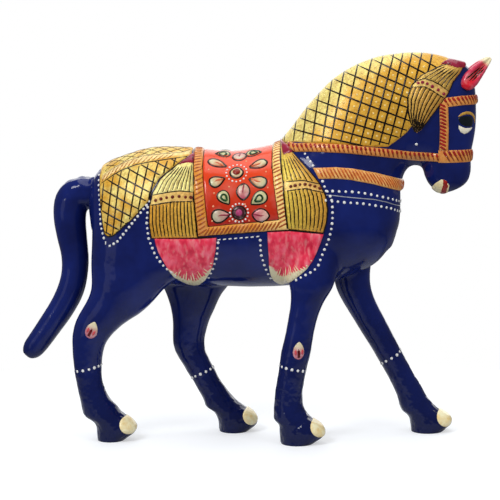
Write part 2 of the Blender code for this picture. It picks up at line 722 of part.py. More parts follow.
# The assembled figure stands centred on the origin
ends = [corner for obj in PARTS.objects for corner in (Vector(c) for c in obj.bound_box)]
centre = Vector([(min(c[i] for c in ends) + max(c[i] for c in ends)) / 2 for i in (0, 1)] + [0])
for obj in PARTS.objects:
    obj.data.transform(Matrix.Translation(-centre))
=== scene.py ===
import math

import bmesh
import bpy
import numpy as np
from mathutils import Matrix, Vector, noise
from mathutils.bvhtree import BVHTree


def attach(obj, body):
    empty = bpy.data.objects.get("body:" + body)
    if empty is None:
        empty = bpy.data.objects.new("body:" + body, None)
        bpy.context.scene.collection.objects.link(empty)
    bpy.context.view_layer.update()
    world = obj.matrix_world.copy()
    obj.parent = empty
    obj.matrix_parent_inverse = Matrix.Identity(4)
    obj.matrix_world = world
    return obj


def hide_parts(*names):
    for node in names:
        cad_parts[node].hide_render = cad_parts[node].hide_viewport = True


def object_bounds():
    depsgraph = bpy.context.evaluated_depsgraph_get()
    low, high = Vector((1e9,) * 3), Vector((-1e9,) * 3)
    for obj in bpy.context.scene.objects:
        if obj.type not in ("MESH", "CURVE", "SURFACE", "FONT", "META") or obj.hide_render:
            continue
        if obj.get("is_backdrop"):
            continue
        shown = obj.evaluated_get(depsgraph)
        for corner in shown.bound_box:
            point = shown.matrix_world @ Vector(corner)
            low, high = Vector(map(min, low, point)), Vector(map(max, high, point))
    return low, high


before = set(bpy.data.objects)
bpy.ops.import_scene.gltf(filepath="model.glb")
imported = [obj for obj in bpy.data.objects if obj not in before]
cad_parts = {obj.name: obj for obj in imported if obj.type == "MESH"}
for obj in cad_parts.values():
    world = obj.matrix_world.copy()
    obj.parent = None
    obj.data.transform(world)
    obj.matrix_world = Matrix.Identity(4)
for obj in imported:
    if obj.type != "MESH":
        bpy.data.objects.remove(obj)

cad_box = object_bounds()

# The casting. Trunk, neck, head and legs are cast metal, brazed together and flooded with deep blue
# enamel, so no joint shows. It is built as smooth forms through measured sections, fused into one
# skin, and left slightly wavy, with the glaze run together in lumps over the feet.
MM = 0.001
FORWARD = 0.72  # how much further forward the figure stands than it was measured, in mm
TRUNK = (
    (-54.0, 81.5, 72.0, 4.5), (-52.4, 85.6, 62.0, 9.0), (-49.0, 88.9, 55.0, 13.0), (-42.0, 91.9, 51.5, 16.2),
    (-33.0, 94.3, 50.2, 17.8), (-21.0, 94.3, 49.8, 18.3), (-8.0, 93.2, 49.4, 18.3), (3.0, 94.8, 49.4, 18.6),
    (14.0, 97.4, 50.0, 18.8), (24.0, 98.6, 50.8, 18.8), (33.0, 97.6, 54.0, 17.6), (40.0, 94.0, 58.0, 15.4),
    (44.6, 90.0, 64.5, 11.5), (47.0, 86.0, 71.0, 6.5),
)
NECK = (
    (5.6, 93.4, 44.2, 62.0, 16.5), (11.8, 101.0, 46.8, 71.0, 16.2), (18.0, 109.0, 47.2, 79.0, 14.2),
    (25.6, 116.8, 47.8, 85.5, 12.4), (35.4, 122.4, 50.2, 89.0, 11.0), (45.4, 124.7, 54.0, 89.0, 10.2),
    (54.5, 124.9, 57.5, 90.0, 9.4), (62.0, 123.4, 61.0, 93.0, 8.0),
)
HEAD = (
    (122.0, 58.5, 67.0, 5.0), (119.3, 55.5, 69.4, 7.0), (114.0, 54.0, 70.7, 8.2), (106.0, 53.6, 71.2, 8.4),
    (99.0, 53.4, 70.7, 7.9), (93.0, 53.6, 69.6, 7.2), (88.0, 54.0, 69.6, 6.8), (84.6, 54.9, 69.0, 6.4),
    (82.2, 56.6, 66.8, 5.6), (80.4, 58.6, 63.0, 3.6),
)
LEGS = {
    "fore_right": (-11.4, (
        (72.0, 12.0, 29.0, 4.5), (60.0, 11.0, 28.0, 6.4), (53.0, 10.8, 26.2, 6.4), (50.0, 11.6, 25.2, 6.0),
        (46.0, 11.7, 22.6, 5.4), (41.0, 11.0, 20.6, 4.9), (35.0, 10.0, 19.3, 4.6), (29.0, 8.6, 18.4, 4.6),
        (23.0, 7.9, 16.9, 4.4), (17.0, 6.8, 15.9, 4.4), (12.5, 6.4, 15.8, 4.7), (9.4, 6.2, 17.6, 5.3),
        (7.4, 6.6, 19.8, 5.8), (6.0, 8.3, 21.8, 6.1), (3.6, 8.4, 23.0, 6.4), (1.8, 8.6, 21.9, 6.3),
        (0.0, 8.8, 19.2, 6.0), (-2.5, 9.0, 16.0, 5.4),
    )),
    "fore_left": (11.4, (
        (72.0, 22.0, 37.0, 4.5), (60.0, 23.5, 38.0, 6.4), (53.0, 25.0, 37.5, 6.2), (48.0, 25.9, 37.8, 5.8),
        (43.0, 28.3, 39.6, 5.3), (37.5, 31.8, 42.4, 4.9), (32.0, 35.2, 45.3, 4.7), (26.5, 38.6, 48.2, 4.6),
        (21.0, 41.8, 51.2, 4.4), (15.5, 44.8, 54.4, 4.4), (11.0, 46.5, 56.9, 4.7), (8.2, 47.6, 59.6, 5.3),
        (6.6, 48.6, 61.6, 5.8), (5.2, 50.4, 63.8, 6.1), (3.4, 50.9, 64.9, 6.4), (1.8, 51.1, 64.2, 6.3),
        (0.0, 51.3, 61.8, 6.0), (-2.5, 51.6, 58.5, 5.4),
    )),
    "hind_right": (-8.6, (
        (84.0, -47.5, -28.0, 5.5), (74.0, -51.5, -22.5, 7.8), (64.0, -52.6, -20.0, 8.6),
        (56.0, -52.8, -21.5, 8.4), (50.0, -52.7, -28.4, 7.8), (46.0, -54.0, -32.0, 7.0),
        (41.5, -56.6, -36.8, 6.2), (37.5, -58.4, -42.8, 5.6), (32.0, -59.3, -47.8, 5.0),
        (26.0, -58.9, -49.4, 4.6), (20.0, -58.2, -49.2, 4.4), (14.0, -57.0, -47.2, 4.6),
        (10.0, -56.2, -43.6, 5.2), (7.6, -55.2, -41.0, 5.7), (6.0, -52.4, -39.2, 6.0),
        (3.8, -51.4, -38.1, 6.2), (2.0, -51.2, -39.4, 6.1), (0.0, -51.0, -42.2, 5.8),
        (-2.5, -50.8, -45.5, 5.3),
    )),
    "hind_left": (8.6, (
        (84.0, -43.0, -18.0, 5.5), (74.0, -45.5, -10.0, 7.8), (64.0, -44.0, -6.0, 8.6),
        (56.0, -38.0, -4.5, 8.4), (50.0, -32.5, -8.0, 7.6), (46.0, -30.2, -11.4, 6.8),
        (41.0, -28.6, -13.8, 6.0), (36.0, -28.0, -16.0, 5.3), (30.5, -28.0, -17.3, 4.9),
        (26.5, -27.2, -16.8, 4.6), (21.0, -24.0, -14.1, 4.4), (15.5, -20.5, -11.0, 4.4),
        (10.5, -17.9, -7.2, 4.8), (8.0, -16.9, -3.6, 5.5), (6.4, -14.2, -1.2, 5.9), (3.9, -13.3, 0.3, 6.2),
        (2.0, -12.8, -0.5, 6.1), (0.0, -12.4, -2.8, 5.8), (-2.5, -12.0, -6.0, 5.3),
    )),
}


def at(x, y, z):
    """A place measured on the figure, in mm, as a point of the model."""
    return Vector((x + FORWARD, y, z)) * MM


def eased(rows, steps):
    """The rows with more between them, on a smooth curve through all of them."""
    rows = [np.array(row, float) for row in rows]
    more = []
    for i in range(len(rows) - 1):
        a, b, c, d = rows[max(i - 1, 0)], rows[i], rows[i + 1], rows[min(i + 2, len(rows) - 1)]
        for t in (k / steps for k in range(steps)):
            bend = (2 * a - 5 * b + 4 * c - d) * t ** 2 + (3 * b - a - 3 * c + d) * t ** 3
            more.append((2 * b + (c - a) * t + bend) / 2)
    return more + [rows[-1]]


def form(bm, rings, sides=40):
    """A closed form through ellipses, each given as its centre and its two half axes."""
    loops = []
    for centre, across, along in rings:
        circle = bmesh.ops.create_circle(bm, segments=sides, radius=1.0)["verts"]
        for vert in circle:
            vert.co = centre + across * vert.co.x + along * vert.co.y
        loops.append(list({edge for vert in circle for edge in vert.link_edges}))
    for first, second in zip(loops, loops[1:]):
        bmesh.ops.bridge_loops(bm, edges=first + second)
    for end in (loops[0], loops[-1]):
        bmesh.ops.contextual_create(bm, geom=end)


def fused(bm, voxel, rounds, crisp=0.0, crisp_rounds=4):
    """Overlapping forms made one smooth skin, with fewer rounds of smoothing below the crisp level."""
    bmesh.ops.recalc_face_normals(bm, faces=bm.faces)
    mesh = bpy.data.meshes.new("forms")
    bm.to_mesh(mesh)
    bm.free()
    rough = bpy.data.objects.new("forms", mesh)
    bpy.context.scene.collection.objects.link(rough)
    remesh = rough.modifiers.new("one_skin", "REMESH")
    remesh.mode = "VOXEL"
    remesh.voxel_size = voxel
    graph = bpy.context.evaluated_depsgraph_get()
    skin = bpy.data.meshes.new_from_object(rough.evaluated_get(graph))
    bpy.data.objects.remove(rough)
    bm = bmesh.new()
    bm.from_mesh(skin)
    soft = [vert for vert in bm.verts if vert.co.z > crisp]
    for i in range(rounds):
        verts = bm.verts if i < crisp_rounds else soft
        bmesh.ops.smooth_vert(bm, verts=verts, factor=0.5, use_axis_x=True, use_axis_y=True, use_axis_z=True)
    bm.to_mesh(skin)
    bm.free()
    return skin


def cut(bm, place, way, clear=False):
    """Cuts a mesh along a plane, and clears what lies beyond it if that is asked."""
    bmesh.ops.bisect_plane(bm, geom=bm.verts[:] + bm.edges[:] + bm.faces[:], plane_co=place, plane_no=way,
                           clear_outer=clear)


def piece(name, mesh, finish, slot, *nodes):
    """Files a finished piece of the horse, in place of the plain solids that it stands for."""
    made = bpy.data.objects.new(name, mesh)
    bpy.context.scene.collection.objects.link(made)
    mesh.materials.clear()
    mesh.materials.append(finish)
    mesh.shade_smooth()
    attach(made, "root")
    if nodes:
        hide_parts(*nodes)
    return made


def sockets(group, way, sockets_wanted):
    """The named inputs or outputs of a node group."""
    for name, kind, value in sockets_wanted:
        socket = group.interface.new_socket(name, in_out=way, socket_type="NodeSocket" + kind)
        if value is not None:
            socket.default_value = value


def node(tree, kind, links=(), **settings):
    """A shader node with its settings, fed at the named sockets by others' outputs or by values."""
    made = tree.nodes.new("ShaderNode" + kind)
    for name, value in settings.items():
        setattr(made, name, value)
    for name, source in dict(links).items():
        if isinstance(source, bpy.types.NodeSocket):
            tree.links.new(source, made.inputs[name])
        else:
            made.inputs[name].default_value = source
    return made


def clouds(tree, place, scale, detail, roughness=0.5):
    """Soft clouds from 0 to 1, so many to the metre."""
    return node(tree, "TexNoise", {"Vector": place, "Scale": scale, "Detail": detail,
                                   "Roughness": roughness}).outputs["Fac"]


def ranged(tree, value, low, high, first=0.0, last=1.0):
    """A value's way from low to high, turned into one from first to last and held between these."""
    return node(tree, "MapRange", {"Value": value, "From Min": low, "From Max": high,
                                   "To Min": first, "To Max": last}).outputs["Result"]


def mixed(tree, share, first, second):
    """A colour that goes from the first to the second as the share goes from 0 to 1."""
    return node(tree, "Mix", {0: share, 6: first, 7: second}, data_type="RGBA").outputs[2]


def bumped(tree, height, strength, depth, under=None):
    """The way that a surface faces with fine relief on it, over another relief where one is given."""
    relief = node(tree, "Bump", {"Height": height, "Strength": strength, "Distance": depth})
    if under:
        tree.links.new(under, relief.inputs["Normal"])
    return relief.outputs["Normal"]


def put_out(group, results):
    """Joins a group's results to its outputs."""
    out = group.nodes.new("NodeGroupOutput")
    for name, source in results.items():
        group.links.new(source, out.inputs[name])


def fill(holder, values):
    """Sets plain values at the named sockets of a node."""
    for socket, value in values.items():
        holder.inputs[socket].default_value = value


def bare(name):
    """A new material, with its node tree and its shader."""
    made = bpy.data.materials.new(name)
    made.use_nodes = True
    return made, made.node_tree, made.node_tree.nodes["Principled BSDF"]


def cloudy_glaze():
    """Hand-laid enamel: two tones that cloud into each other, and a slightly wavy, pitted surface."""
    group = bpy.data.node_groups.new("cloudy_glaze", "ShaderNodeTree")
    sockets(group, "INPUT", (
        ("Light", "Color", (1, 1, 1, 1)), ("Dark", "Color", (0, 0, 0, 1)), ("Patch", "Float", 150.0),
        ("Wave", "Float", 0.1), ("Pits", "Float", 0.02),
    ))
    sockets(group, "OUTPUT", (("Colour", "Color", None), ("Normal", "Vector", None)))
    given = group.nodes.new("NodeGroupInput").outputs
    place = node(group, "TexCoord").outputs["Object"]
    spread = ranged(group, clouds(group, place, given["Patch"], 4.0, 0.6), 0.35, 0.65)
    soft = bumped(group, clouds(group, place, 260.0, 1.0), given["Wave"], MM)
    fine = bumped(group, clouds(group, place, 2600.0, 2.0), given["Pits"], 0.1 * MM, soft)
    put_out(group, {"Colour": mixed(group, spread, given["Dark"], given["Light"]), "Normal": fine})
    return group


CLOUDY = cloudy_glaze()


def glazed(name, light, dark, patch=150.0, wave=0.1, pits=0.02, roughness=0.16, metal=0.0, shine=0.35):
    """A glossy enamel or lacquer in two close tones."""
    made, tree, shader = bare(name)
    laid = tree.nodes.new("ShaderNodeGroup")
    laid.node_tree = CLOUDY
    fill(laid, {"Light": (*light, 1), "Dark": (*dark, 1), "Patch": patch, "Wave": wave, "Pits": pits})
    fill(shader, {"Roughness": roughness, "Metallic": metal, "Specular IOR Level": shine})
    tree.links.new(laid.outputs["Colour"], shader.inputs["Base Color"])
    tree.links.new(laid.outputs["Normal"], shader.inputs["Normal"])
    return made


bm = bmesh.new()
form(bm, [(at(x, 0, (top + low) / 2), Vector((0, half, 0)) * MM, Vector((0, 0, (top - low) / 2)) * MM)
          for x, top, low, half in eased(TRUNK, 3)])
form(bm, [((at(crest_x, 0, crest_z) + at(throat_x, 0, throat_z)) / 2, Vector((0, half, 0)) * MM,
           (at(throat_x, 0, throat_z) - at(crest_x, 0, crest_z)) / 2)
          for crest_x, crest_z, throat_x, throat_z, half in eased(NECK, 3)])
form(bm, [(at((jaw + face) / 2, 0, z), Vector((0, half, 0)) * MM, Vector(((face - jaw) / 2, 0, 0)) * MM)
          for z, jaw, face, half in eased(HEAD, 3)])
for y, rows in LEGS.values():
    form(bm, [(at((back + front) / 2, y, z), Vector((0, half, 0)) * MM,
               Vector(((front - back) / 2, 0, 0)) * MM) for z, back, front, half in eased(rows, 2)])
casting = fused(bm, 0.6 * MM, 18, crisp=9 * MM)

POOLED = 40  # the level up to which the glaze has run together over the feet, in mm
bm = bmesh.new()
bm.from_mesh(casting)
cut(bm, (0, 0, 0), (0, 0, -1), clear=True)
soles = [edge for edge in bm.edges if edge.is_boundary]
bmesh.ops.holes_fill(bm, edges=soles, sides=0)
bm.normal_update()
waves = []
for vert in bm.verts:
    lumps = 0.24 * noise.noise(vert.co * 170) + 0.30 * noise.noise(vert.co * 300)
    waves.append((0.11 * noise.noise(vert.co * 130) + max(0, 1 - vert.co.z / (POOLED * MM)) * lumps) * MM)
for vert, wave in zip(bm.verts, waves):
    if vert.co.z > 0.5 * MM:
        vert.co += vert.normal * wave
bm.normal_update()
SURFACES = [BVHTree.FromBMesh(bm)]
bm.to_mesh(casting)
bm.free()
SKIN = np.array([vert.co for vert in casting.vertices])
SKIN_FACES = np.array([face.vertices[:] for face in casting.polygons if len(face.vertices) == 4])
SKIN_MIDDLES = SKIN[SKIN_FACES].mean(axis=1)
blue = glazed("blue_enamel", (0.008, 0.018, 0.150), (0.005, 0.010, 0.085), patch=60.0, wave=0.14, pits=0.01,
              roughness=0.09, shine=0.28)
# The blue is made darker towards the feet, below 42 mm.
FOOT_BLUE = (0.003, 0.006, 0.045)
tree = blue.node_tree
shader = tree.nodes["Principled BSDF"]
laid_blue, laid_normal = (shader.inputs[name].links[0].from_socket for name in ("Base Color", "Normal"))
place = node(tree, "TexCoord").outputs["Object"]
level = node(tree, "SeparateXYZ", {"Vector": place}).outputs["Z"]
toward_feet = ranged(tree, level, 4 * MM, 42 * MM, 0.85, 0.0)
thick = ranged(tree, level, 8 * MM, POOLED * MM, 0.5, 0.0)
runny = bumped(tree, clouds(tree, place, 520.0, 1.0), thick, 0.8 * MM, laid_normal)
tree.links.new(mixed(tree, toward_feet, laid_blue, (*FOOT_BLUE, 1)), shader.inputs["Base Color"])
tree.links.new(runny, shader.inputs["Normal"])
piece("enamelled_casting", casting, blue, "blue_enamel", "body_shell_left", "body_shell_right",
      "leg_fore_left", "leg_fore_right", "leg_hind_left", "leg_hind_right")


# The tail. A cast rod, welded into the rump: the weld at its root is left rough and pitted under
# the enamel.
TAIL = (
    (-46.5, 79.0, 5.0), (-50.5, 79.6, 5.2), (-53.5, 79.8, 5.3), (-57.4, 79.6, 5.4), (-60.0, 77.2, 5.6),
    (-60.7, 72.0, 5.4), (-60.1, 66.0, 5.0), (-59.2, 60.0, 4.6), (-59.2, 54.0, 4.4), (-60.6, 48.0, 4.4),
    (-63.6, 42.0, 4.2), (-67.3, 36.5, 4.0), (-71.2, 31.0, 3.8), (-73.7, 27.8, 3.4), (-75.2, 25.8, 1.9),
)


def heading(rows, i):
    """Which way a bent line of x and z runs at one of its places."""
    before, after = rows[max(i - 1, 0)], rows[min(i + 1, len(rows) - 1)]
    return Vector((after[0] - before[0], 0, after[1] - before[1])).normalized()


def bent_rings(rows):
    """Rings square to a bent centre line in the mid-plane: x, z and radius."""
    rows = eased(rows, 4)
    for i, (x, z, radius) in enumerate(rows):
        run = heading(rows, i)
        yield at(x, 0, z), Vector((0, radius, 0)) * MM, Vector((-run.z, 0, run.x)) * radius * MM


bm = bmesh.new()
form(bm, list(bent_rings(TAIL)), 32)
tail = fused(bm, 0.55 * MM, 6)
weld, weld_reach = at(-53.5, 0, 83.5), 11 * MM
for vert in tail.vertices:
    rough = max(0.0, 1 - (vert.co - weld).length / weld_reach)
    wave, pits = 0.07 * noise.noise(vert.co * 110), 0.9 * rough * noise.noise(vert.co * 420)
    vert.co += vert.normal * MM * (wave + pits)
bm = bmesh.new()
bm.from_mesh(tail)
SURFACES.append(BVHTree.FromBMesh(bm))
bm.free()
piece("enamelled_tail", tail, blue, "blue_enamel", "tail")


# The ears. Two small cast leaves, hollowed on the outer side, pinned into the head. The hollow is
# laid with red enamel, the rim with pink and the point with cream, and three black strokes.
EAR = (
    (66.8, 113.9, 0.6, 0.8), (67.1, 114.4, 1.4, 1.7), (67.8, 115.5, 2.1, 2.4), (68.9, 117.0, 2.5, 2.65),
    (70.3, 118.7, 2.5, 2.4), (72.1, 120.7, 2.0, 1.9), (73.7, 122.3, 1.3, 1.25), (74.7, 123.3, 0.8, 0.8),
    (75.05, 123.7, 0.4, 0.4),
)
EAR_ROOT = at(66.8, 0, 114.4)
EAR_WAY, EAR_ACROSS = Vector((0.66, 0, 0.75)), Vector((-0.75, 0, 0.66))
EAR_STROKES = (((67.2, 117.0), (71.7, 120.7)), ((68.2, 116.4), (73.1, 121.3)), ((69.2, 116.4), (73.0, 120.3)))
RED, PINK, CREAM = (0.66, 0.012, 0.03), (0.62, 0.045, 0.10), (0.84, 0.74, 0.46)
HANDS = (("right", -1), ("left", 1))


def blend(a, b, share):
    """A colour between two."""
    return tuple(x + (y - x) * min(1, max(0, share)) for x, y in zip(a, b))


def paint(mesh, colour_at):
    """Lays the enamel colours, each found from a place on the piece."""
    laid = mesh.color_attributes.new("paint", "FLOAT_COLOR", "POINT")
    for vert, colour in zip(mesh.vertices, laid.data):
        colour.color = (*colour_at(vert.co), 1)


def painted(name, streak=0.25, grain=(1, 1, 1), patch=420.0, roughness=0.16, shine=0.35):
    """Hand-painted enamel: the piece's own laid colours, streaked lighter and darker by the brush."""
    made, tree, shader = bare(name)
    colour = node(tree, "Attribute", attribute_name="paint").outputs["Color"]
    place = node(tree, "Mapping", {"Vector": node(tree, "TexCoord").outputs["Object"], "Scale": grain})
    brush = clouds(tree, place.outputs["Vector"], patch, 3.0)
    pale = mixed(tree, ranged(tree, brush, 0.5, 0.75, 0.0, streak * 2), colour, (0.9, 0.8, 0.72, 1))
    deep = mixed(tree, ranged(tree, brush, 0.5, 0.25, 0.0, streak), pale, (0.05, 0.01, 0.01, 1))
    tree.links.new(deep, shader.inputs["Base Color"])
    tree.links.new(bumped(tree, brush, 0.15, 0.1 * MM), shader.inputs["Normal"])
    fill(shader, {"Roughness": roughness, "Specular IOR Level": shine})
    return made


def lie(start, toward):
    """Where a brush that comes from start first touches the figure, and the way that spot faces."""
    way = (toward - start).normalized()
    hits = [hit for hit in (tree.ray_cast(start, way) for tree in SURFACES) if hit[0] is not None]
    if not hits:
        return None
    spot, facing, _, _ = min(hits, key=lambda hit: hit[3])
    return spot, facing if facing.dot(way) < 0 else -facing


AWAY = 60  # how far off a brush stroke starts toward the figure, in mm


def flank(x, z, side):
    """The place on one side of the figure that a side view shows at x and z."""
    return lie(at(x, AWAY * side, z), at(x, 0, z))


BEAD, DIP = 0.62, 0.38  # a stroke's half thickness and the depth of its middle, as shares of its width


def pen(name, strokes, width, finish, slot, ends=(0.3, 1.0, 0.3)):
    """Pen or brush strokes as fine raised lines of lacquer. Ends are the shares of the width at the
    start, the middle and the end of each."""
    curve = bpy.data.curves.new(name, "CURVE")
    curve.dimensions = "3D"
    curve.bevel_depth = width * BEAD * MM
    curve.bevel_resolution = 1
    curve.use_fill_caps = True
    for stroke in strokes:
        stroke = [spot for spot in stroke if spot]
        if len(stroke) < 2:
            continue
        line = curve.splines.new("POLY")
        line.points.add(len(stroke) - 1)
        for i, (point, (spot, facing)) in enumerate(zip(line.points, stroke)):
            share = i / (len(stroke) - 1)
            point.radius = float(np.interp(share, (0, 0.2, 0.8, 1), (ends[0], ends[1], ends[1], ends[2])))
            point.co = (*(spot - facing * width * DIP * point.radius * MM), 1)
    drawn = bpy.data.objects.new(name + "_line", curve)
    bpy.context.scene.collection.objects.link(drawn)
    graph = bpy.context.evaluated_depsgraph_get()
    mesh = bpy.data.meshes.new_from_object(drawn.evaluated_get(graph))
    bpy.data.objects.remove(drawn)
    bm = bmesh.new()
    bm.from_mesh(mesh)
    bmesh.ops.remove_doubles(bm, verts=bm.verts, dist=0.001 * MM)
    bmesh.ops.recalc_face_normals(bm, faces=bm.faces)
    bm.to_mesh(mesh)
    bm.free()
    return piece(name, mesh, finish, slot)


def kept(name, bm):
    """The finished mesh of a piece, which later strokes and stones can lie on."""
    bmesh.ops.recalc_face_normals(bm, faces=bm.faces)
    SURFACES.append(BVHTree.FromBMesh(bm))
    mesh = bpy.data.meshes.new(name)
    bm.to_mesh(mesh)
    bm.free()
    return mesh


def ear_colour(co):
    """The colour laid at a place in an ear."""
    along_ear = (co - EAR_ROOT).dot(EAR_WAY) / MM
    spread = abs((co - EAR_ROOT).dot(EAR_ACROSS)) / MM
    body = blend(RED, PINK, (spread - 0.9) + (along_ear - 2) / 9)
    return blend(body, CREAM, (along_ear - 9.4) / 1.2)


ear_enamel = painted("ear_enamel", streak=0.12)
ink = glazed("pen_ink", (0.020, 0.010, 0.004), (0.008, 0.004, 0.002))
for hand, side in HANDS:
    rows = eased(EAR, 4)
    bm = bmesh.new()
    rings = []
    for i, (x, z, wide, deep) in enumerate(rows):
        run = heading(rows, i)
        lean = 7.2 - 2.5 * i / (len(rows) - 1)
        rings.append((at(x, lean * side, z), Vector((0, wide, 0)) * MM,
                      Vector((-run.z, 0, run.x)) * deep * MM))
    form(bm, rings, 28)
    for vert in bm.verts:
        offs = [abs((vert.co - ring[0]).dot(ring[2].normalized().cross((0, 1, 0)))) for ring in rings]
        nearest = offs.index(min(offs))
        centre, wide, deep = rings[nearest]
        offset = vert.co.y - centre.y
        if offset * side > 0:
            spread = (vert.co - centre).dot(deep) / deep.length_squared
            share = nearest / (len(rings) - 1)
            hollow = 0.85 * math.sin(math.pi * share) ** 0.5 * min(1, 4 * max(0, share - 0.2))
            vert.co.y = centre.y + offset * (1 - hollow * math.exp(-(spread / 0.55) ** 2))
    mesh = kept(f"ear_{hand}", bm)
    paint(mesh, ear_colour)
    piece(f"enamelled_ear_{hand}", mesh, ear_enamel, "pink_enamel", f"ear_{hand}")
    strokes = [[flank(ax + (bx - ax) * k / 6, az + (bz - az) * k / 6, side) for k in range(7)]
               for (ax, az), (bx, bz) in EAR_STROKES]
    pen(f"ear_strokes_{hand}", strokes, 0.62, ink, "pink_enamel")


# The croup net. Crackled gold leaf laid over the croup under clear lacquer, drawn over with a black
# pen net. A rope-hatched band divides the deep net on the hip from the fine one over the back.
CROUP_NET = (
    (-49.6, 90.2), (-49.8, 85.5), (-49.2, 78.6), (-48.5, 72.7), (-47.6, 67.9), (-46.4, 66.8),
    (-44.5, 67.2), (-40.7, 70.6), (-36.6, 74.7), (-33.0, 78.6), (-32.2, 81.6), (-29.8, 85.7),
    (-25.8, 89.0), (-20.3, 92.6), (-20.3, 99.0), (-46.0, 99.0),
)
BAND_LOW = (
    (-49.0, 83.6), (-46.0, 85.8), (-42.6, 87.8), (-38.0, 89.6), (-33.4, 90.6), (-28.0, 91.4), (-20.6, 92.4),
)
BAND_HIGH = ((-48.9, 86.0), (-45.0, 88.6), (-40.9, 90.7), (-35.9, 92.3), (-29.6, 93.0), (-20.6, 93.7))
STEEP = (  # the net's steep lines: x at the level of 80 mm, and their lean
    (-48.4, 0.06), (-45.7, 0.10), (-43.35, 0.11), (-40.8, 0.13), (-38.1, 0.15), (-35.6, 0.18),
    (-32.9, 0.22), (-30.5, 0.26), (-28.2, 0.27), (-25.9, 0.28), (-23.6, 0.28),
)
FLAT = (64.8, 67.8, 70.9, 74.0, 77.65, 81.35, 84.6, 88.15, 91.4, 94.6, 97.8)  # levels of its flatter lines


def inside(outline, x, z):
    """Whether a place on the side view lies inside an outline."""
    within = False
    for (ax, az), (bx, bz) in zip(outline, outline[1:] + outline[:1]):
        if (az > z) != (bz > z) and x < ax + (bx - ax) * (z - az) / (bz - az):
            within = not within
    return within


def side_view(co):
    """A point of the model as x and z on the side view, in mm."""
    return co.x / MM - FORWARD, co.z / MM


def sheet(outline, side=0, start=1.5, hole=None, finer=0):
    """The casting's skin cut clean along a side-view outline: right over it, or on one side from so
    many mm off the mid-plane."""
    (left, low), (right, high) = np.min(outline, axis=0), np.max(outline, axis=0)
    margin = 1.2 * MM
    x, z = SKIN_MIDDLES[:, 0], SKIN_MIDDLES[:, 2]
    near = (x > at(left, 0, 0).x - margin) & (x < at(right, 0, 0).x + margin)
    near &= (z > low * MM - margin) & (z < high * MM + margin)
    if side:
        near &= SKIN_MIDDLES[:, 1] * side > start * MM - margin
    used, faces = np.unique(SKIN_FACES[near], return_inverse=True)
    skin = bpy.data.meshes.new("skin")
    skin.from_pydata(SKIN[used].tolist(), [], faces.reshape(-1, 4).tolist())
    bm = bmesh.new()
    bm.from_mesh(skin)
    bpy.data.meshes.remove(skin)
    if finer:
        bmesh.ops.subdivide_edges(bm, edges=bm.edges[:], cuts=finer, use_grid_fill=True)
    if side:
        cut(bm, (0, side * start * MM, 0), (0, -side, 0), clear=True)
    for line in (outline, hole) if hole else (outline,):
        for (ax, az), (bx, bz) in zip(line, line[1:] + line[:1]):
            cut(bm, at(ax, 0, az), (bz - az, 0, ax - bx))
    waste = []
    for face in bm.faces:
        x, z = side_view(face.calc_center_median())
        if not inside(outline, x, z) or (hole and inside(hole, x, z)):
            waste.append(face)
    bmesh.ops.delete(bm, geom=waste, context="FACES")
    return bm


def to_edge(outlines, x, z):
    """How far a place on the side view is from the nearest outline, in mm."""
    nearest = 1e9
    for outline in outlines:
        a = np.array(outline)
        run = np.roll(a, -1, axis=0) - a
        place = np.array((x, z))
        share = np.clip(((place - a) * run).sum(1) / (run ** 2).sum(1), 0, 1)
        nearest = min(nearest, np.hypot(*(a + run * share[:, None] - place).T).min())
    return nearest


HEM, SUNK = 0.25, 0.15  # a sheet's share of its height at its outline, and how deep its foot goes in mm


def raised(name, outline, height, rim, finish, slot, *nodes, side=0, start=1.5, hole=None, finer=0,
           pleats=None, colour=None):
    """A sheet with its thickness, full height inside and rolling off to its outline in the rim.
    Pleats is the share of the height at a place, and colour its laid enamel."""
    bm = sheet(outline, side, start, hole, finer)
    lift = bm.verts.layers.float_vector.new("lift")
    bm.normal_update()
    for vert in bm.verts:
        x, z = side_view(vert.co)
        t = min(to_edge((outline, hole) if hole else (outline,), x, z) / rim, 1.0)
        share = HEM + (1 - HEM) * math.sqrt(1 - (1 - t) ** 2)
        vert[lift] = vert.normal * share * (pleats(x, z) if pleats else 1) * height * MM
    top = bmesh.ops.extrude_face_region(bm, geom=bm.faces[:])["geom"]
    lifted = {item for item in top if isinstance(item, bmesh.types.BMVert)}
    for vert in bm.verts:
        if vert in lifted:
            vert.co += vert[lift]
        else:
            vert.co -= vert[lift].normalized() * SUNK * MM
    mesh = kept(name, bm)
    if colour:
        paint(mesh, lambda co: colour(*side_view(co)))
    made = piece(name, mesh, finish, slot, *nodes)
    mesh.set_sharp_from_angle(angle=math.radians(50))
    return made


BACK_LEVEL, BACK_ROUND = 76, 18  # the middle and the radius of the rounded back, in mm


def over(x, arc):
    """A place over the back: arc is how far down one side it lies from the ridge, in mm."""
    turn = arc / BACK_ROUND
    return lie(at(x, AWAY * math.sin(turn), BACK_LEVEL + AWAY * math.cos(turn)), at(x, 0, BACK_LEVEL))


def arc_of(x, z):
    """How far down from the ridge of the back a place on the side view lies."""
    spot = flank(x, z, -1)
    return BACK_ROUND * math.atan2(abs(spot[0].y), spot[0].z - BACK_LEVEL * MM) if spot else 0.0


def along(line, pitch):
    """Evenly spaced places on a line of x and z."""
    line = [np.array(point, float) for point in line]
    runs = [np.linalg.norm(b - a) for a, b in zip(line, line[1:])]
    count = max(1, round(sum(runs) / pitch))
    ends = np.concatenate(((0,), np.cumsum(runs)))
    for left in np.linspace(0, ends[-1], count + 1):
        yield tuple(float(np.interp(left, ends, [point[i] for point in line])) for i in (0, 1))


def traced(line, side, pitch=0.8):
    """A side-view line laid on one side of the figure."""
    return [flank(x, z, side) for x, z in along(line, pitch)]


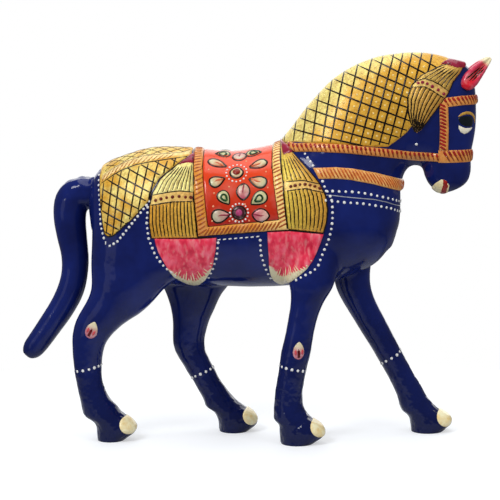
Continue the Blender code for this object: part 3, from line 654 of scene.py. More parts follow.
def drawn(lines, side, outline, step=0.8, hole=None):
    """Side-view lines laid on one side of the figure, only where they run inside an outline. One that
    runs off over the crest is carried up to the crest itself."""
    for line in lines:
        run, last = [], None
        for x, z in along(line, step):
            spot = flank(x, z, side) if inside(outline, x, z) and not (hole and inside(hole, x, z)) else None
            if spot:
                run.append(spot)
                last = (x, z)
                continue
            if last and inside(outline, x, z):
                low, high = last, (x, z)
                for _ in range(7):
                    middle = ((low[0] + high[0]) / 2, (low[1] + high[1]) / 2)
                    found = flank(*middle, side)
                    if found:
                        low = middle
                        run.append(found)
                    else:
                        high = middle
            if len(run) > 1:
                yield run
            run, last = [], None
        if len(run) > 1:
            yield run


def crackled_leaf():
    """Metal leaf: light and deep gold in small crackled patches, with a fine sparkle."""
    group = bpy.data.node_groups.new("crackled_leaf", "ShaderNodeTree")
    sockets(group, "INPUT", (
        ("Light", "Color", (1, 1, 1, 1)), ("Deep", "Color", (0, 0, 0, 1)), ("Flake", "Float", 900.0),
    ))
    sockets(group, "OUTPUT", (
        ("Colour", "Color", None), ("Roughness", "Float", None), ("Normal", "Vector", None),
    ))
    given = group.nodes.new("NodeGroupInput").outputs
    place = node(group, "TexCoord").outputs["Object"]
    flake = node(group, "TexVoronoi", {"Vector": place, "Scale": given["Flake"]}).outputs["Color"]
    both = node(group, "Math", {0: clouds(group, place, 420.0, 6.0, 0.75), 1: flake}, operation="ADD")
    tone = mixed(group, ranged(group, both.outputs[0], 0.6, 1.5), given["Deep"], given["Light"])
    put_out(group, {"Colour": tone, "Roughness": ranged(group, flake, 0.0, 1.0, 0.35, 0.6),
                    "Normal": bumped(group, flake, 0.4, 0.05 * MM)})
    return group


CRACKLED = crackled_leaf()


def leaf(name, light, deep, flake=1500.0, metal=0.25):
    """Gold leaf under clear lacquer. Without a light colour of its own it takes the laid colours."""
    made, tree, shader = bare(name)
    laid = tree.nodes.new("ShaderNodeGroup")
    laid.node_tree = CRACKLED
    fill(laid, {"Flake": flake, "Deep": (*deep, 1)})
    if light:
        fill(laid, {"Light": (*light, 1)})
    else:
        colour = node(tree, "Attribute", attribute_name="paint").outputs["Color"]
        tree.links.new(colour, laid.inputs["Light"])
        tree.links.new(mixed(tree, 0.55, colour, (*deep, 1)), laid.inputs["Deep"])
    fill(shader, {"Metallic": metal, "Coat Weight": 0.10, "Coat Roughness": 0.08, "Specular IOR Level": 0.3})
    for output, socket in (("Colour", "Base Color"), ("Roughness", "Roughness"), ("Normal", "Normal")):
        tree.links.new(laid.outputs[output], shader.inputs[socket])
    return made


# Painted light: the two pale leaf colours are the leaf where the light falls on the hip and along the crest.
LIT_HIP_LEAF, LIT_CREST_LEAF = (1.0, 0.87, 0.27), (1.0, 0.88, 0.28)
AMBER_LEAF = (0.84, 0.48, 0.05)
LEAF_PATCH = 0.28  # how close together the leaf's lighter and darker patches lie


def croup_colour(x, z):
    """The leaf on the croup, with painted light: palest about the hip, where the light falls on it, and darker
    and warmer round it, patched at random.
    """
    darker = abs(x + 37) / 15 + max((82 - z) / 30, (z - 82) / 50)
    return blend(LIT_HIP_LEAF, AMBER_LEAF, darker + 1.3 * noise.noise(Vector((x, 0, z)) * LEAF_PATCH))


gold = leaf("gold_leaf", None, (0.42, 0.16, 0.01), metal=0.18)
band_gold = leaf("band_gold", (0.93, 0.78, 0.36), (0.82, 0.55, 0.20))
amber = glazed("amber_strokes", (0.60, 0.15, 0.035), (0.44, 0.08, 0.02), patch=500.0)
olive = glazed("olive_lines", (0.16, 0.09, 0.015), (0.08, 0.04, 0.008), patch=500.0)
rust = glazed("rust_strokes", (0.40, 0.095, 0.022), (0.20, 0.038, 0.010), patch=500.0)
sienna = glazed("sienna_strokes", (0.50, 0.13, 0.025), (0.32, 0.065, 0.014), patch=500.0)
raised("croup_leaf", CROUP_NET, 0.5, 0.8, gold, "gold_leaf", "croup_net", colour=croup_colour)
for hand, side in HANDS:
    raised(f"croup_band_{hand}", BAND_LOW + BAND_HIGH[::-1], 0.72, 0.8, band_gold, "gold_leaf", side=side)

hip = CROUP_NET[2:13] + BAND_LOW[::-1]
steep = [((x - 16 * slope, 64.0), (x + 14 * slope, 94.0)) for x, slope in STEEP]
flat = [((-52.0, z + 5.9), (-18.0, z - 10.4)) for z in FLAT]
net, hatch, edge, tops, back_net = [], [], [], [], []
for side in (-1, 1):
    net += drawn(steep + flat, side, hip)
    edge += [traced(line, side) for line in (BAND_LOW, CROUP_NET[1:11])]
    for x, z in along(BAND_LOW[:-1], 1.6):
        reach = float(np.interp(x, (-49, -34), (1.4, 2.4)))
        high = float(np.interp(x + reach, *zip(*BAND_HIGH)))
        hatch.append([flank(x + reach * t, z + 0.2 + (high - z - 0.3) * t, side) for t in (0, 0.33, 0.67, 1)])
    tops.append(traced(BAND_HIGH, side))
for way in (-1, 1):
    for start in np.arange(-76, 6, 4.2):
        run = []
        for arc in np.linspace(-17, 17, 50):
            x = start + way * arc * 1.05 + 9
            top = np.interp(x, *zip(*BAND_HIGH))
            if -48.6 < x < -20.6 and abs(arc) < arc_of(x, top):
                run.append(over(x, arc))
            elif run:
                back_net.append(run)
                run = []
        back_net.append(run)
pen("croup_net_lines", net, 0.64, ink, "gold_leaf", ends=(0.7, 1.0, 0.7))
pen("croup_net_edges", edge, 0.6, ink, "gold_leaf", ends=(0.5, 1.0, 0.5))
pen("croup_band_strokes", hatch, 0.40, sienna, "gold_leaf")
pen("croup_band_tops", tops, 0.34, olive, "gold_leaf")
pen("back_net_lines", back_net, 0.50, olive, "gold_leaf", ends=(0.7, 1.0, 0.7))


# The mane net. The same leaf and pen net over the neck, from the poll tassels to the rein, with a
# small raised drop of pale leaf in each mesh of the net.
MANE_NET = (
    (9.4, 96.5), (12.6, 97.0), (15.9, 96.9), (29.2, 96.5), (39.3, 95.6), (42.6, 95.6),
    (46.2, 98.2), (48.6, 100.2), (50.4, 102.6), (50.4, 112.2), (53.3, 116.5), (58.0, 119.6),
    (63.0, 121.6), (60.0, 130.0), (20.0, 130.0), (2.0, 103.0),
)


def drops(name, spots, size, finish, slot, high=0.5):
    """Drops of enamel set with a needle: low domes of slightly uneven size, all from one shape."""
    bm = bmesh.new()
    bmesh.ops.create_uvsphere(bm, u_segments=10, v_segments=6, radius=1.0)
    dome = bpy.data.meshes.new(name)
    bm.to_mesh(dome)
    bm.clear()
    for i, (spot, facing) in enumerate(spot for spot in spots if spot):
        wide = size / 2 * MM * (1 + 0.10 * math.sin(i * 2.4))
        turn = facing.to_track_quat("Z", "Y").to_matrix().to_4x4()
        one = dome.copy()
        one.transform(Matrix.Translation(spot) @ turn @ Matrix.Diagonal((wide, wide, wide * high, 1)))
        bm.from_mesh(one)
        bpy.data.meshes.remove(one)
    bm.to_mesh(dome)
    bm.free()
    return piece(name, dome, finish, slot)


CREST = ((93.4, 101.0, 109.0, 116.8, 122.4, 125.0), (5.6, 11.8, 18.0, 25.6, 35.4, 45.0))
UPRIGHT = (  # the net's upright lines: x at the level of 100 mm, and their lean
    (6.6, 0.08), (9.7, 0.09), (12.8, 0.10), (15.8, 0.11), (18.9, 0.13), (22.2, 0.15), (24.9, 0.19),
    (28.2, 0.22), (31.4, 0.26), (34.7, 0.26), (37.9, 0.26), (40.8, 0.26), (43.7, 0.26), (46.8, 0.26),
    (49.9, 0.27),
)
SLOPING = (  # its sloping lines: z where x is 30 mm, and their fall
    (97.1, -0.22), (100.1, -0.28), (103.5, -0.31), (106.9, -0.33), (111.2, -0.38), (115.1, -0.38),
    (118.7, -0.41), (122.6, -0.44), (127.0, -0.49), (131.4, -0.52), (136.0, -0.55),
)


def mane_colour(x, z):
    """The leaf on the mane, with painted light: brightest along the crest, where the light falls, and darker
    and warmer towards the face, patched at random.
    """
    darker = (x - float(np.interp(z, *CREST)) - 5) / 8
    return blend(LIT_CREST_LEAF, AMBER_LEAF, darker + 0.7 * noise.noise(Vector((x, 0, z)) * LEAF_PATCH))


pale_gold = leaf("pale_gold_leaf", (0.94, 0.76, 0.34), (0.80, 0.52, 0.16), metal=0.1)
raised("mane_leaf", MANE_NET, 0.5, 0.8, gold, "gold_leaf", "mane_net", colour=mane_colour)
upright = [((x - 6 * slope, 94.0), (x + 32 * slope, 132.0)) for x, slope in UPRIGHT]
sloping = [((0.0, z - 30 * slope), (66.0, z + 36 * slope)) for z, slope in SLOPING]
meshes = []
for (ax, a), (bx, b) in zip(UPRIGHT, UPRIGHT[1:]):
    for (cz, c), (dz, d) in zip(SLOPING, SLOPING[1:]):
        x0, lean, z0, fall = (ax + bx) / 2, (a + b) / 2, (cz + dz) / 2, (c + d) / 2
        z = (z0 + fall * (x0 - 100 * lean - 30)) / (1 - fall * lean)
        x = x0 + lean * (z - 100)
        if inside(MANE_NET, x, z) and to_edge([MANE_NET], x, z) > 1.0:
            meshes += [flank(x, z, -1), flank(x, z, 1)]
net = [run for side in (-1, 1) for run in drawn(upright + sloping, side, MANE_NET)]
pen("mane_net_lines", net, 0.70, ink, "gold_leaf", ends=(0.7, 1.0, 0.7))
drops("mane_net_drops", meshes, 0.72, pale_gold, "gold_leaf", high=0.35)


# The saddle border. A raised band round the cloth, laid with golden enamel and hatched with slanting
# rust strokes to look like twisted rope, with a black line along both its edges.
BACK_EDGE = ((-20.2, 97.0), (-19.0, 84.4), (-17.3, 67.4))
FRONT_EDGE = ((8.0, 99.0), (9.6, 84.3), (11.4, 69.8))
SADDLE = BACK_EDGE + FRONT_EDGE[::-1]
CLOTH = ((-17.1, 100.1), (-15.9, 84.4), (-14.2, 70.5), (8.3, 72.9), (6.5, 84.3), (4.9, 102.1))
ROPE_PITCH, ROPE_MIDDLE = 1.34, 1.55  # how far apart its strokes lie, and how far in from its edge, in mm
DULL_ROPE, LIGHT_ROPE = (0.73, 0.28, 0.04), (0.98, 0.66, 0.22)
border_gold = painted("border_enamel", streak=0.06, patch=500.0)
raised("saddle_rope", SADDLE, 0.75, 1.3, border_gold, "orange_band", "saddle_border", hole=CLOTH,
       colour=lambda x, z: blend(DULL_ROPE, LIGHT_ROPE, (x + 4) / 10 + (z - 84) / 30))


def slanted(x, z, reach, rise, side):
    """A short stroke through a place on one side."""
    return [flank(x + reach * t, z + rise * t, side) for t in (-1, -0.5, 0, 0.5, 1)]


def x_on(line, z):
    """Where a line that runs upward stands at a level."""
    return float(np.interp(z, [point[1] for point in line], [point[0] for point in line]))


strokes = []
for side in (-1, 1):
    for border, inward, slopes in ((BACK_EDGE, ROPE_MIDDLE, (0.65, 0.40)),
                                   (FRONT_EDGE, -ROPE_MIDDLE, (0.55, 0.50))):
        foot, bend, top = rope = [(x + inward, z) for x, z in border[::-1]]
        base = foot[1] + 1.5
        flank_line = ((x_on(rope, base), base), bend, (bend[0] + (top[0] - bend[0]) * 0.3, 88.0))
        for x, z in along(flank_line, ROPE_PITCH):
            strokes.append(slanted(x, z, 1.4, 1.4 * np.interp(z, (70, 90), slopes), side))
        x = x_on(rope, 91)
        for arc in np.arange(arc_of(x, 88.9), 0.2, -ROPE_PITCH):
            strokes.append([over(x + 1.25 * t, side * (arc - 0.45 * t)) for t in (-1, -0.5, 0, 0.5, 1)])
    strokes += [slanted(x, z, 0.85, 1.3, side) for x, z in along(((-14.4, 69.0), (7.9, 71.1)), 1.27)]
pen("saddle_rope_strokes", strokes, 0.70, sienna, "orange_band", ends=(0.7, 1.0, 0.5))


# The saddle cloth. A thin raised panel over the back, laid with orange-red enamel that is darker
# towards the hem, and bordered by a black line. Its stones are domed drops of enamel, each ringed
# in black, with rings of white drops round two of them.
DEEP_RED = (0.44, 0.014, 0.005)
BRIGHT_RED = (0.78, 0.064, 0.014)
red_enamel = painted("red_cloth_enamel", streak=0.04, patch=160.0)
raised("saddle_cloth_panel", CLOTH, 0.45, 0.6, red_enamel, "red_cloth", "saddle_cloth",
       colour=lambda x, z: blend(DEEP_RED, BRIGHT_RED, (z - 72) / 18))
TURN = 88.3  # the level from which an upright line is laid from above, over the back, in mm


def over_ridge(x, foot, side):
    """The last part of an upright line, laid over the back from above its foot to the ridge."""
    return [over(x, side * arc) for arc in np.arange(arc_of(foot, TURN) - 1, -0.5, -1)]


lines = []
for side in (-1, 1):
    lines.append(traced(CLOTH[1:5], side))
    for (foot, z), (top, _) in ((CLOTH[1], CLOTH[0]), (CLOTH[4], CLOTH[5])):
        lines.append(traced(((foot, z), (foot + (top - foot) * 0.25, TURN)), side)
                     + over_ridge(foot + (top - foot) * 0.4, foot, side))
    for line in (BACK_EDGE, FRONT_EDGE):
        top, foot = line[0][0], line[1][0]
        lines.append(traced(line[:0:-1] + ((foot * 0.72 + top * 0.28, TURN),), side)
                     + over_ridge(foot * 0.6 + top * 0.4, foot, side))
    lines.append(traced((BACK_EDGE[2], FRONT_EDGE[2]), side))
pen("saddle_lines", lines, 0.46, ink, "orange_band", ends=(0.8, 1.0, 0.8))

STONES = (  # x, z, length, width, way that the point looks, kind
    (-10.3, 93.1, 4.6, 3.8, 180, "green"), (-0.3, 93.5, 4.8, 3.8, 0, "green"),
    (-4.8, 92.4, 4.2, 4.2, 90, "rose"), (-11.6, 90.3, 6.2, 3.0, -24, "petal"),
    (1.4, 90.2, 5.6, 3.2, 200, "petal"), (-5.4, 87.6, 3.9, 3.9, 0, "garnet"),
    (-11.4, 85.0, 4.9, 3.6, 25, "petal"), (1.4, 85.0, 5.6, 3.7, 160, "petal"),
    (-3.1, 81.8, 5.4, 4.0, 90, "leaf"), (-9.0, 79.7, 4.9, 3.5, -52, "green"),
    (1.8, 79.5, 5.6, 4.0, 216, "green"), (-4.3, 75.1, 4.2, 4.0, 0, "ruby"),
    (-10.0, 74.1, 5.6, 3.9, 10, "rose_petal"), (2.6, 74.3, 5.2, 4.0, 176, "rose_leaf"),
)
ROSE = (0.58, 0.065, 0.14)
STONE_TONES = {  # colour at the end that a stone looks to, and at the other
    "green": ((0.46, 0.45, 0.20), (0.56, 0.55, 0.28)), "rose": (ROSE, (0.70, 0.62, 0.46)),
    "petal": ((0.76, 0.20, 0.06), (0.60, 0.63, 0.38)), "garnet": ((0.72, 0.58, 0.32), (0.66, 0.50, 0.26)),
    "leaf": ((0.66, 0.58, 0.40), ROSE), "ruby": ((0.06, 0.015, 0.02), (0.05, 0.01, 0.02)),
    "rose_petal": ((0.58, 0.20, 0.22), (0.52, 0.52, 0.34)), "rose_leaf": (ROSE, (0.70, 0.46, 0.36)),
}


DROP_WIDEST, BUD_WIDEST = 0.77, 0.88  # the widest that the two outlines come as they are drawn


def outline_of(kind, length, width, turn, swell=1.0):
    """A place on a stone's outline: a drop or bud with one point, a leaf with two, or a round."""
    across = math.sin(turn)
    if kind in ("petal", "green", "rose_petal"):
        across *= abs(math.sin(turn / 2)) / DROP_WIDEST
    elif kind == "bud":
        across *= abs(math.sin(turn / 2)) ** 0.5 / BUD_WIDEST
    elif kind in ("leaf", "rose_leaf"):
        across *= abs(math.sin(turn)) ** 0.5
    return length / 2 * math.cos(turn) * swell, width / 2 * across * swell


def nearby(spot, facing, right, up, way=0.0):
    """A place on the surface a little to the right of and above another, both turned by way."""
    run = (Vector((1, 0, 0)) - facing * facing.x).normalized()
    rise = run.cross(facing) if run.cross(facing).z > 0 else facing.cross(run)
    turn = math.radians(way)
    right, up = right * math.cos(turn) - up * math.sin(turn), right * math.sin(turn) + up * math.cos(turn)
    place = spot + (run * right + rise * up) * MM
    return lie(place + facing * 4 * MM, place)


CROWN, STONE_FOOT = 0.42, 0.06  # how high a stone stands and how deep its edge goes, in mm


def laid_stone(bm, spot, facing, kind, length, width, way, tip, base, middle=0.0, sharp=1.0):
    """Adds one domed drop of enamel: its outline, laid on the surface, drawn in and up to its crown.
    Its two colours meet at the middle, more or less sharply."""
    toned = bm.verts.layers.float_color["paint"]
    loops = []
    for swell, high in ((1.0, 0.0), (0.97, 0.30), (0.85, 0.62), (0.6, 0.86), (0.3, 0.97)):
        circle = bmesh.ops.create_circle(bm, segments=20, radius=1.0)["verts"]
        for k, vert in enumerate(circle):
            u, v = outline_of(kind, length, width, math.pi * k / 10, swell)
            place, way_up = nearby(spot, facing, u, v, way)
            vert.co = place + way_up * (high * CROWN - STONE_FOOT) * MM
            vert[toned] = (*blend(base, tip, (u / length - middle) * sharp + 0.5), 1)
        loops.append(list({edge for vert in circle for edge in vert.link_edges}))
    for outer, inner in zip(loops, loops[1:]):
        bmesh.ops.bridge_loops(bm, edges=outer + inner)
    for end in (loops[0], loops[-1]):
        bmesh.ops.contextual_create(bm, geom=end)


def round_stone(spot, facing, kind, length, width, way, count, swell):
    """A closed line round a stone's outline, or within it."""
    return [nearby(spot, facing, *outline_of(kind, length, width, 2 * math.pi * k / count, swell), way)
            for k in range(count + 1)]


bm = bmesh.new()
bm.verts.layers.float_color.new("paint")
for side in (-1, 1):
    for x, z, length, width, way, kind in STONES:
        laid_stone(bm, *flank(x, z, side), kind, length, width, way, *STONE_TONES[kind])
mesh = kept("cloth_stones", bm)
RING_SIZES = {"garnet": 3.3, "ruby": 2.9}  # how far the white drops stand from the middle, in mm
rims, marks, flames, eyes, rings = [], [], [], [], []
for side in (-1, 1):
    for x, z, length, width, way, kind in STONES:
        spot, facing = flank(x, z, side)
        rims.append(round_stone(spot, facing, kind, length, width, way, 24, 1.03))
        if kind in ("petal", "rose_petal", "rose", "leaf", "rose_leaf"):
            reach = 0.12 * length if kind == "rose" else 0.19 * length
            stroke = [nearby(spot, facing, reach * (t - 1.0), 0.16 * math.sin(t * 1.6), way)
                      for t in range(5)]
            (flames if kind == "petal" else marks).append(stroke)
        elif kind == "green":
            eyes.append(round_stone(spot, facing, kind, length, width, way, 16, 0.5))
        if kind in RING_SIZES:
            rings += [nearby(spot, facing, *(c * RING_SIZES[kind] for c in (math.cos(t), math.sin(t))))
                      for t in np.linspace(0, 2 * math.pi, 17)[:-1]]
SPECKS = (
    (4.0, 87.8), (-14.3, 88.3), (-9.4, 91.8), (-2.5, 90.8), (-7.6, 83.1), (4.7, 83.0), (-12.3, 81.1),
    (4.1, 77.2), (-2.5, 77.7), (-12.5, 77.0), (-7.3, 72.4), (-5.1, 72.6), (-1.1, 72.6), (-12.8, 72.4),
)
stone_enamel = painted("stone_enamel", streak=0.18, patch=700.0)
green = glazed("green_enamel", (0.02, 0.08, 0.02), (0.006, 0.03, 0.01), patch=500.0)
white = glazed("white_drops", (0.86, 0.86, 0.84), (0.76, 0.76, 0.76), patch=900.0)
maroon = glazed("maroon_enamel", (0.34, 0.022, 0.055), (0.22, 0.012, 0.035), patch=300.0)
garnet = glazed("garnet_enamel", (0.34, 0.035, 0.020), (0.18, 0.012, 0.010), patch=600.0)
flame = glazed("flame_enamel", (0.70, 0.16, 0.05), (0.52, 0.07, 0.025), patch=600.0)
ruby = glazed("ruby_enamel", (0.50, 0.07, 0.20), (0.34, 0.03, 0.12), patch=600.0)
coral = glazed("coral_drops", (0.88, 0.42, 0.22), (0.80, 0.30, 0.16), patch=900.0)
piece("cloth_stones", mesh, stone_enamel, "red_cloth")
pen("stone_rims", rims, 0.78, ink, "red_cloth", ends=(1.0, 1.0, 1.0))
pen("stone_eyes", eyes, 0.80, green, "red_cloth", ends=(1.0, 1.0, 1.0))
pen("stone_marks", marks, 0.56, maroon, "red_cloth", ends=(0.2, 1.0, 0.2))
pen("stone_flames", flames, 0.75, flame, "red_cloth", ends=(0.2, 1.0, 0.1))
drops("stone_rings", rings, 0.62, white, "red_cloth")
drops("garnet_hearts", [flank(-5.4, 87.7, side) for side in (-1, 1)], 2.5, garnet, "red_cloth", high=0.3)
drops("ruby_hearts", [flank(-4.3, 75.1, side) for side in (-1, 1)], 2.2, ruby, "red_cloth", high=0.4)
drops("cloth_specks", [flank(x, z, side) for side in (-1, 1) for x, z in SPECKS], 0.62, coral, "red_cloth")


# The tassels. Four puffed gold tassels hang beside the saddle and two behind the ears, pleated from a
# maroon cap down to a straight hem, and tied round by a dotted band. The pleats are chased in and
# inked.
REAR_LEFT = (
    (-20.6, 92.4), (-22.6, 91.3), (-25.5, 89.0), (-29.5, 85.4), (-31.9, 81.0), (-32.8, 76.9), (-32.9, 71.6),
    (-32.2, 66.8),
)
FRONT_RIGHT = (
    (10.8, 96.4), (12.6, 93.6), (15.7, 90.4), (19.2, 86.7), (21.2, 84.2), (23.0, 80.7), (23.7, 76.2),
    (23.3, 72.1), (22.4, 68.9),
)
LEFT, RIGHT = "left edge", "right edge"
TASSELS = {  # the pleats, and the gold colours from left to right, are those above the band and those below it. The gold colours paint light and shade across each tassel, lighter on one side than the other, and the paler upper part is partly painted light too
    "rear": {
        "outline": REAR_LEFT + ((-17.6, 67.1), (-18.8, 81.0), (-19.6, 92.4)),
        LEFT: REAR_LEFT,
        RIGHT: (
            (-19.6, 92.4), (-19.3, 89.5), (-19.0, 85.0), (-18.8, 81.0), (-18.4, 76.0), (-18.0, 71.6),
            (-17.6, 67.1),
        ),
        "band": ((-31.7, 80.4), (-27.3, 81.3), (-23.3, 81.8), (-18.9, 81.4)),
        "tie": ((-32.4, 77.2), (-28.2, 78.0), (-24.7, 78.4), (-18.7, 78.5)),
        "cap": ((-19.0, 93.4), (-19.0, 90.0), (-21.5, 89.5), (-24.6, 89.2), (-21.5, 91.9)),
        "dots": (
            (-30.8, 78.8), (-29.1, 79.3), (-27.3, 79.7), (-25.4, 79.9), (-23.3, 80.1), (-21.3, 79.9),
            (-19.6, 79.8),
        ),
        "pleats": (9, 13),
        "shaded_golds": (((1.0, 0.94, 0.38), (1.0, 0.90, 0.30)), ((0.92, 0.45, 0.04), (1.0, 0.60, 0.08))),
        "height and rim": (1.0, 3.2),
    },
    "front": {
        "outline": ((8.2, 96.4), (8.9, 90.0), (10.1, 79.7), (11.2, 70.1), (16.7, 69.5)) + FRONT_RIGHT[::-1],
        LEFT: ((8.2, 96.4), (8.5, 93.0), (8.9, 90.0), (9.5, 84.8), (10.1, 79.7), (10.6, 75.0), (11.2, 70.1)),
        RIGHT: FRONT_RIGHT,
        "band": ((10.5, 84.8), (15.7, 85.3), (21.0, 84.2)), "tie": ((10.8, 82.0), (16.7, 82.8), (22.6, 81.5)),
        "cap": ((8.3, 97.4), (11.0, 95.9), (13.0, 94.0), (11.6, 92.8), (9.3, 92.1)),
        "dots": (
            (12.0, 83.4), (13.4, 83.7), (14.9, 84.0), (16.5, 84.1), (18.1, 83.9), (19.6, 83.5), (21.2, 82.9),
        ),
        "pleats": (7, 10),
        "shaded_golds": (((1.0, 0.80, 0.12), (0.62, 0.30, 0.03)), ((1.0, 0.76, 0.10), (0.84, 0.42, 0.05))),
        "height and rim": (1.0, 3.2),
    },
    "poll": {
        "outline": (
            (66.3, 120.8), (62.4, 122.0), (58.8, 121.0), (53.3, 118.3), (50.2, 115.2), (48.8, 111.2),
            (48.9, 107.0), (49.9, 103.0), (51.7, 100.0), (53.2, 101.0), (56.5, 105.6), (59.3, 109.2),
            (61.4, 112.4), (63.1, 116.2), (65.2, 118.7),
        ),
        LEFT: (
            (62.4, 122.0), (58.8, 121.0), (53.3, 118.3), (50.2, 115.2), (48.8, 111.2), (48.9, 107.0),
            (49.9, 103.0), (51.3, 100.3),
        ),
        RIGHT: (
            (66.3, 120.6), (65.2, 118.7), (63.1, 116.2), (61.4, 112.4), (59.3, 109.2), (56.5, 105.6),
            (53.6, 101.6), (52.0, 100.3),
        ),
        "band": ((50.9, 116.2), (54.1, 117.2), (56.8, 116.3), (59.2, 115.0), (62.0, 113.0)),
        "tie": ((49.9, 114.5), (54.1, 114.6), (56.8, 113.2), (59.0, 111.7), (61.0, 110.6)),
        "cap": (
            (59.0, 121.4), (62.1, 122.6), (66.8, 121.6), (67.0, 120.6), (65.7, 120.2), (64.2, 119.7),
            (62.7, 120.2), (60.3, 121.0),
        ),
        "dots": ((52.0, 115.8), (53.4, 116.0), (54.9, 115.6), (56.5, 114.7), (58.4, 113.6), (60.2, 112.3)),
        "pleats": (7, 8),
        "shaded_golds": (((0.82, 0.56, 0.13), (0.66, 0.40, 0.08)), ((0.84, 0.52, 0.10), (0.64, 0.34, 0.06))),
        "height and rim": (1.5, 4.0),
    },
}
# The band's gold, lighter at its left than at its right: painted light and shade.
BAND_SHADED_GOLDS = ((1.0, 0.75, 0.24), (0.90, 0.52, 0.14))
BAND_SHARE = 0.86  # how much of a tassel's height is left in the band
PLEAT_SHARE, PLEAT_RISE = 0.78, 0.22  # and between its pleats, and what the pleats add to that
GRID = 60  # places across and down a tassel
umber = glazed("tassel_dots", (0.17, 0.022, 0.010), (0.09, 0.012, 0.005), patch=500.0)
tassel_gold = leaf("tassel_gold", None, (0.36, 0.16, 0.03), flake=1400.0, metal=0.3)


def edge_place(line, share):
    """A place part of the way down an edge."""
    run = [0.0]
    for (ax, az), (bx, bz) in zip(line, line[1:]):
        run.append(run[-1] + math.hypot(bx - ax, bz - az))
    return [float(np.interp(share * run[-1], run, [point[i] for point in line])) for i in (0, 1)]


def between(tassel, across, down):
    """A place on a tassel, part of the way across and down it."""
    left, right = edge_place(tassel[LEFT], down), edge_place(tassel[RIGHT], down)
    return tuple(a + (b - a) * across for a, b in zip(left, right))


def share_across(tassel, x, z):
    """How far across a tassel a place lies."""
    rows = tassel["grid"]
    i, k = np.unravel_index(np.argmin((rows[..., 0] - x) ** 2 + (rows[..., 1] - z) ** 2), rows.shape[:2])
    return k / (rows.shape[1] - 1)


def split(line, upper):
    """All that lies above a line across a tassel, or below it, as an outline that reaches far out."""
    def beyond(end, other):
        return end[0] + (end[0] - other[0]) * 0.2, end[1] + (end[1] - other[1]) * 0.2

    a, b = beyond(line[0], line[-1]), beyond(line[-1], line[0])
    drop = (b[1] - a[1], a[0] - b[0])
    size = math.hypot(*drop) * (1 if drop[1] < 0 else -1)
    far = -60 if upper else 60
    return (a, *line, b, *((p[0] + drop[0] / size * far, p[1] + drop[1] / size * far) for p in (b, a)))


for place, tassel in TASSELS.items():
    tassel["grid"] = np.array([[between(tassel, k / GRID, i / GRID) for k in range(GRID + 1)]
                               for i in range(GRID + 1)])
    above, below = split(tassel["band"], True), split(tassel["tie"], False)
    upper_pleats, skirt_pleats = tassel["pleats"]
    height, rim = tassel["height and rim"]

    # Painted light and shade: the gold goes from one tone to another across the tassel as the light falls on
    # it, and its upper part is paler partly as painted light.
    def tassel_colour(x, z):
        upper_golds, skirt_golds = tassel["shaded_golds"]
        shaded_golds = upper_golds if inside(above, x, z) else skirt_golds if inside(below, x, z) else BAND_SHADED_GOLDS
        return blend(*shaded_golds, share_across(tassel, x, z))

    def tassel_pleats(x, z):
        if inside(above, x, z):
            folds = upper_pleats
        elif inside(below, x, z):
            folds = skirt_pleats
        else:
            return BAND_SHARE
        return PLEAT_SHARE + PLEAT_RISE * abs(math.sin(math.pi * folds * share_across(tassel, x, z)))

    for hand, side in HANDS:
        raised(f"{place}_tassel_{hand}", tassel["outline"], height, rim, tassel_gold, "gold_leaf",
               f"tassel_{place}_{hand}", side=side, finer=1, pleats=tassel_pleats, colour=tassel_colour)
        raised(f"{place}_tassel_cap_{hand}", tassel["cap"], height + 0.15, 1.0, maroon, "gold_leaf",
               side=side, start=0.3)
        for part, count, area, hole, width, ends in (
                ("pleats", upper_pleats, above, tassel["cap"], 0.46, (0.5, 1.0, 0.8)),
                ("skirt_pleats", skirt_pleats, below, None, 0.56, (0.9, 1.0, 0.5))):
            folds = [[between(tassel, k / count, i / 40) for i in range(2, 41)] for k in range(1, count)]
            pen(f"{place}_tassel_{part}_{hand}", drawn(folds, side, area, step=0.7, hole=hole), width, ink,
                "gold_leaf", ends=ends)
        for part, edges, width, ends in (("ties", ("band", "tie"), 0.46, (0.8, 1.0, 0.8)),
                                         ("sides", (LEFT, RIGHT), 0.68, (0.5, 1.0, 1.0))):
            pen(f"{place}_tassel_{part}_{hand}", [traced(tassel[edge], side, 0.7) for edge in edges], width,
                ink, "gold_leaf", ends=ends)
        drops(f"{place}_tassel_dots_{hand}", [flank(x, z, side) for x, z in tassel["dots"]], 1.1,
              maroon if place == "poll" else umber, "gold_leaf")


# The tassel ends. Puffed pink enamel below the gold, brushed with paler streaks, and ending in a
# ragged edge of cream strokes. A thick black line divides them from the gold.
TIPS = {
    "rear": (
        (-31.2, 66.6), (-31.0, 64.9), (-30.2, 62.2), (-28.8, 59.5), (-27.4, 56.8), (-25.7, 53.9),
        (-24.2, 52.4), (-21.9, 50.9), (-19.8, 50.3), (-17.9, 50.7), (-15.8, 52.5), (-13.9, 55.4),
        (-12.8, 58.3), (-12.3, 61.0), (-11.8, 63.7), (-11.5, 67.0), (-17.2, 66.6),
    ),
    "front": (
        (4.7, 68.9), (4.8, 65.1), (5.0, 61.1), (5.0, 57.5), (5.4, 54.6), (6.2, 52.6), (7.6, 51.4),
        (8.9, 51.0), (10.6, 51.6), (12.4, 53.0), (15.0, 55.2), (17.1, 57.1), (19.0, 59.8), (20.3, 62.5),
        (21.3, 65.2), (22.4, 68.3), (11.4, 69.3),
    ),
}
TIP_HEMS = {
    "rear": ((-32.4, 66.7), (-17.4, 66.9), (-11.6, 67.1)), "front": ((5.0, 69.2), (11.5, 69.6), (22.6, 68.6)),
}
RIM_LEVELS = (50.5, 53, 56, 60)  # and the cream rim's width at each
TIP_RIMS = {"rear": (2.4, 1.2, 0.4, -3.0), "front": (3.6, 3.0, 1.7, -2.0)}
TIP_HEARTS = {"rear": (-20.5, 61.0), "front": (10.5, 62.0)}  # where the brush strokes of the edge run to
TIP_CREAM, TIP_ROSE = (0.84, 0.75, 0.50), (0.90, 0.045, 0.10)
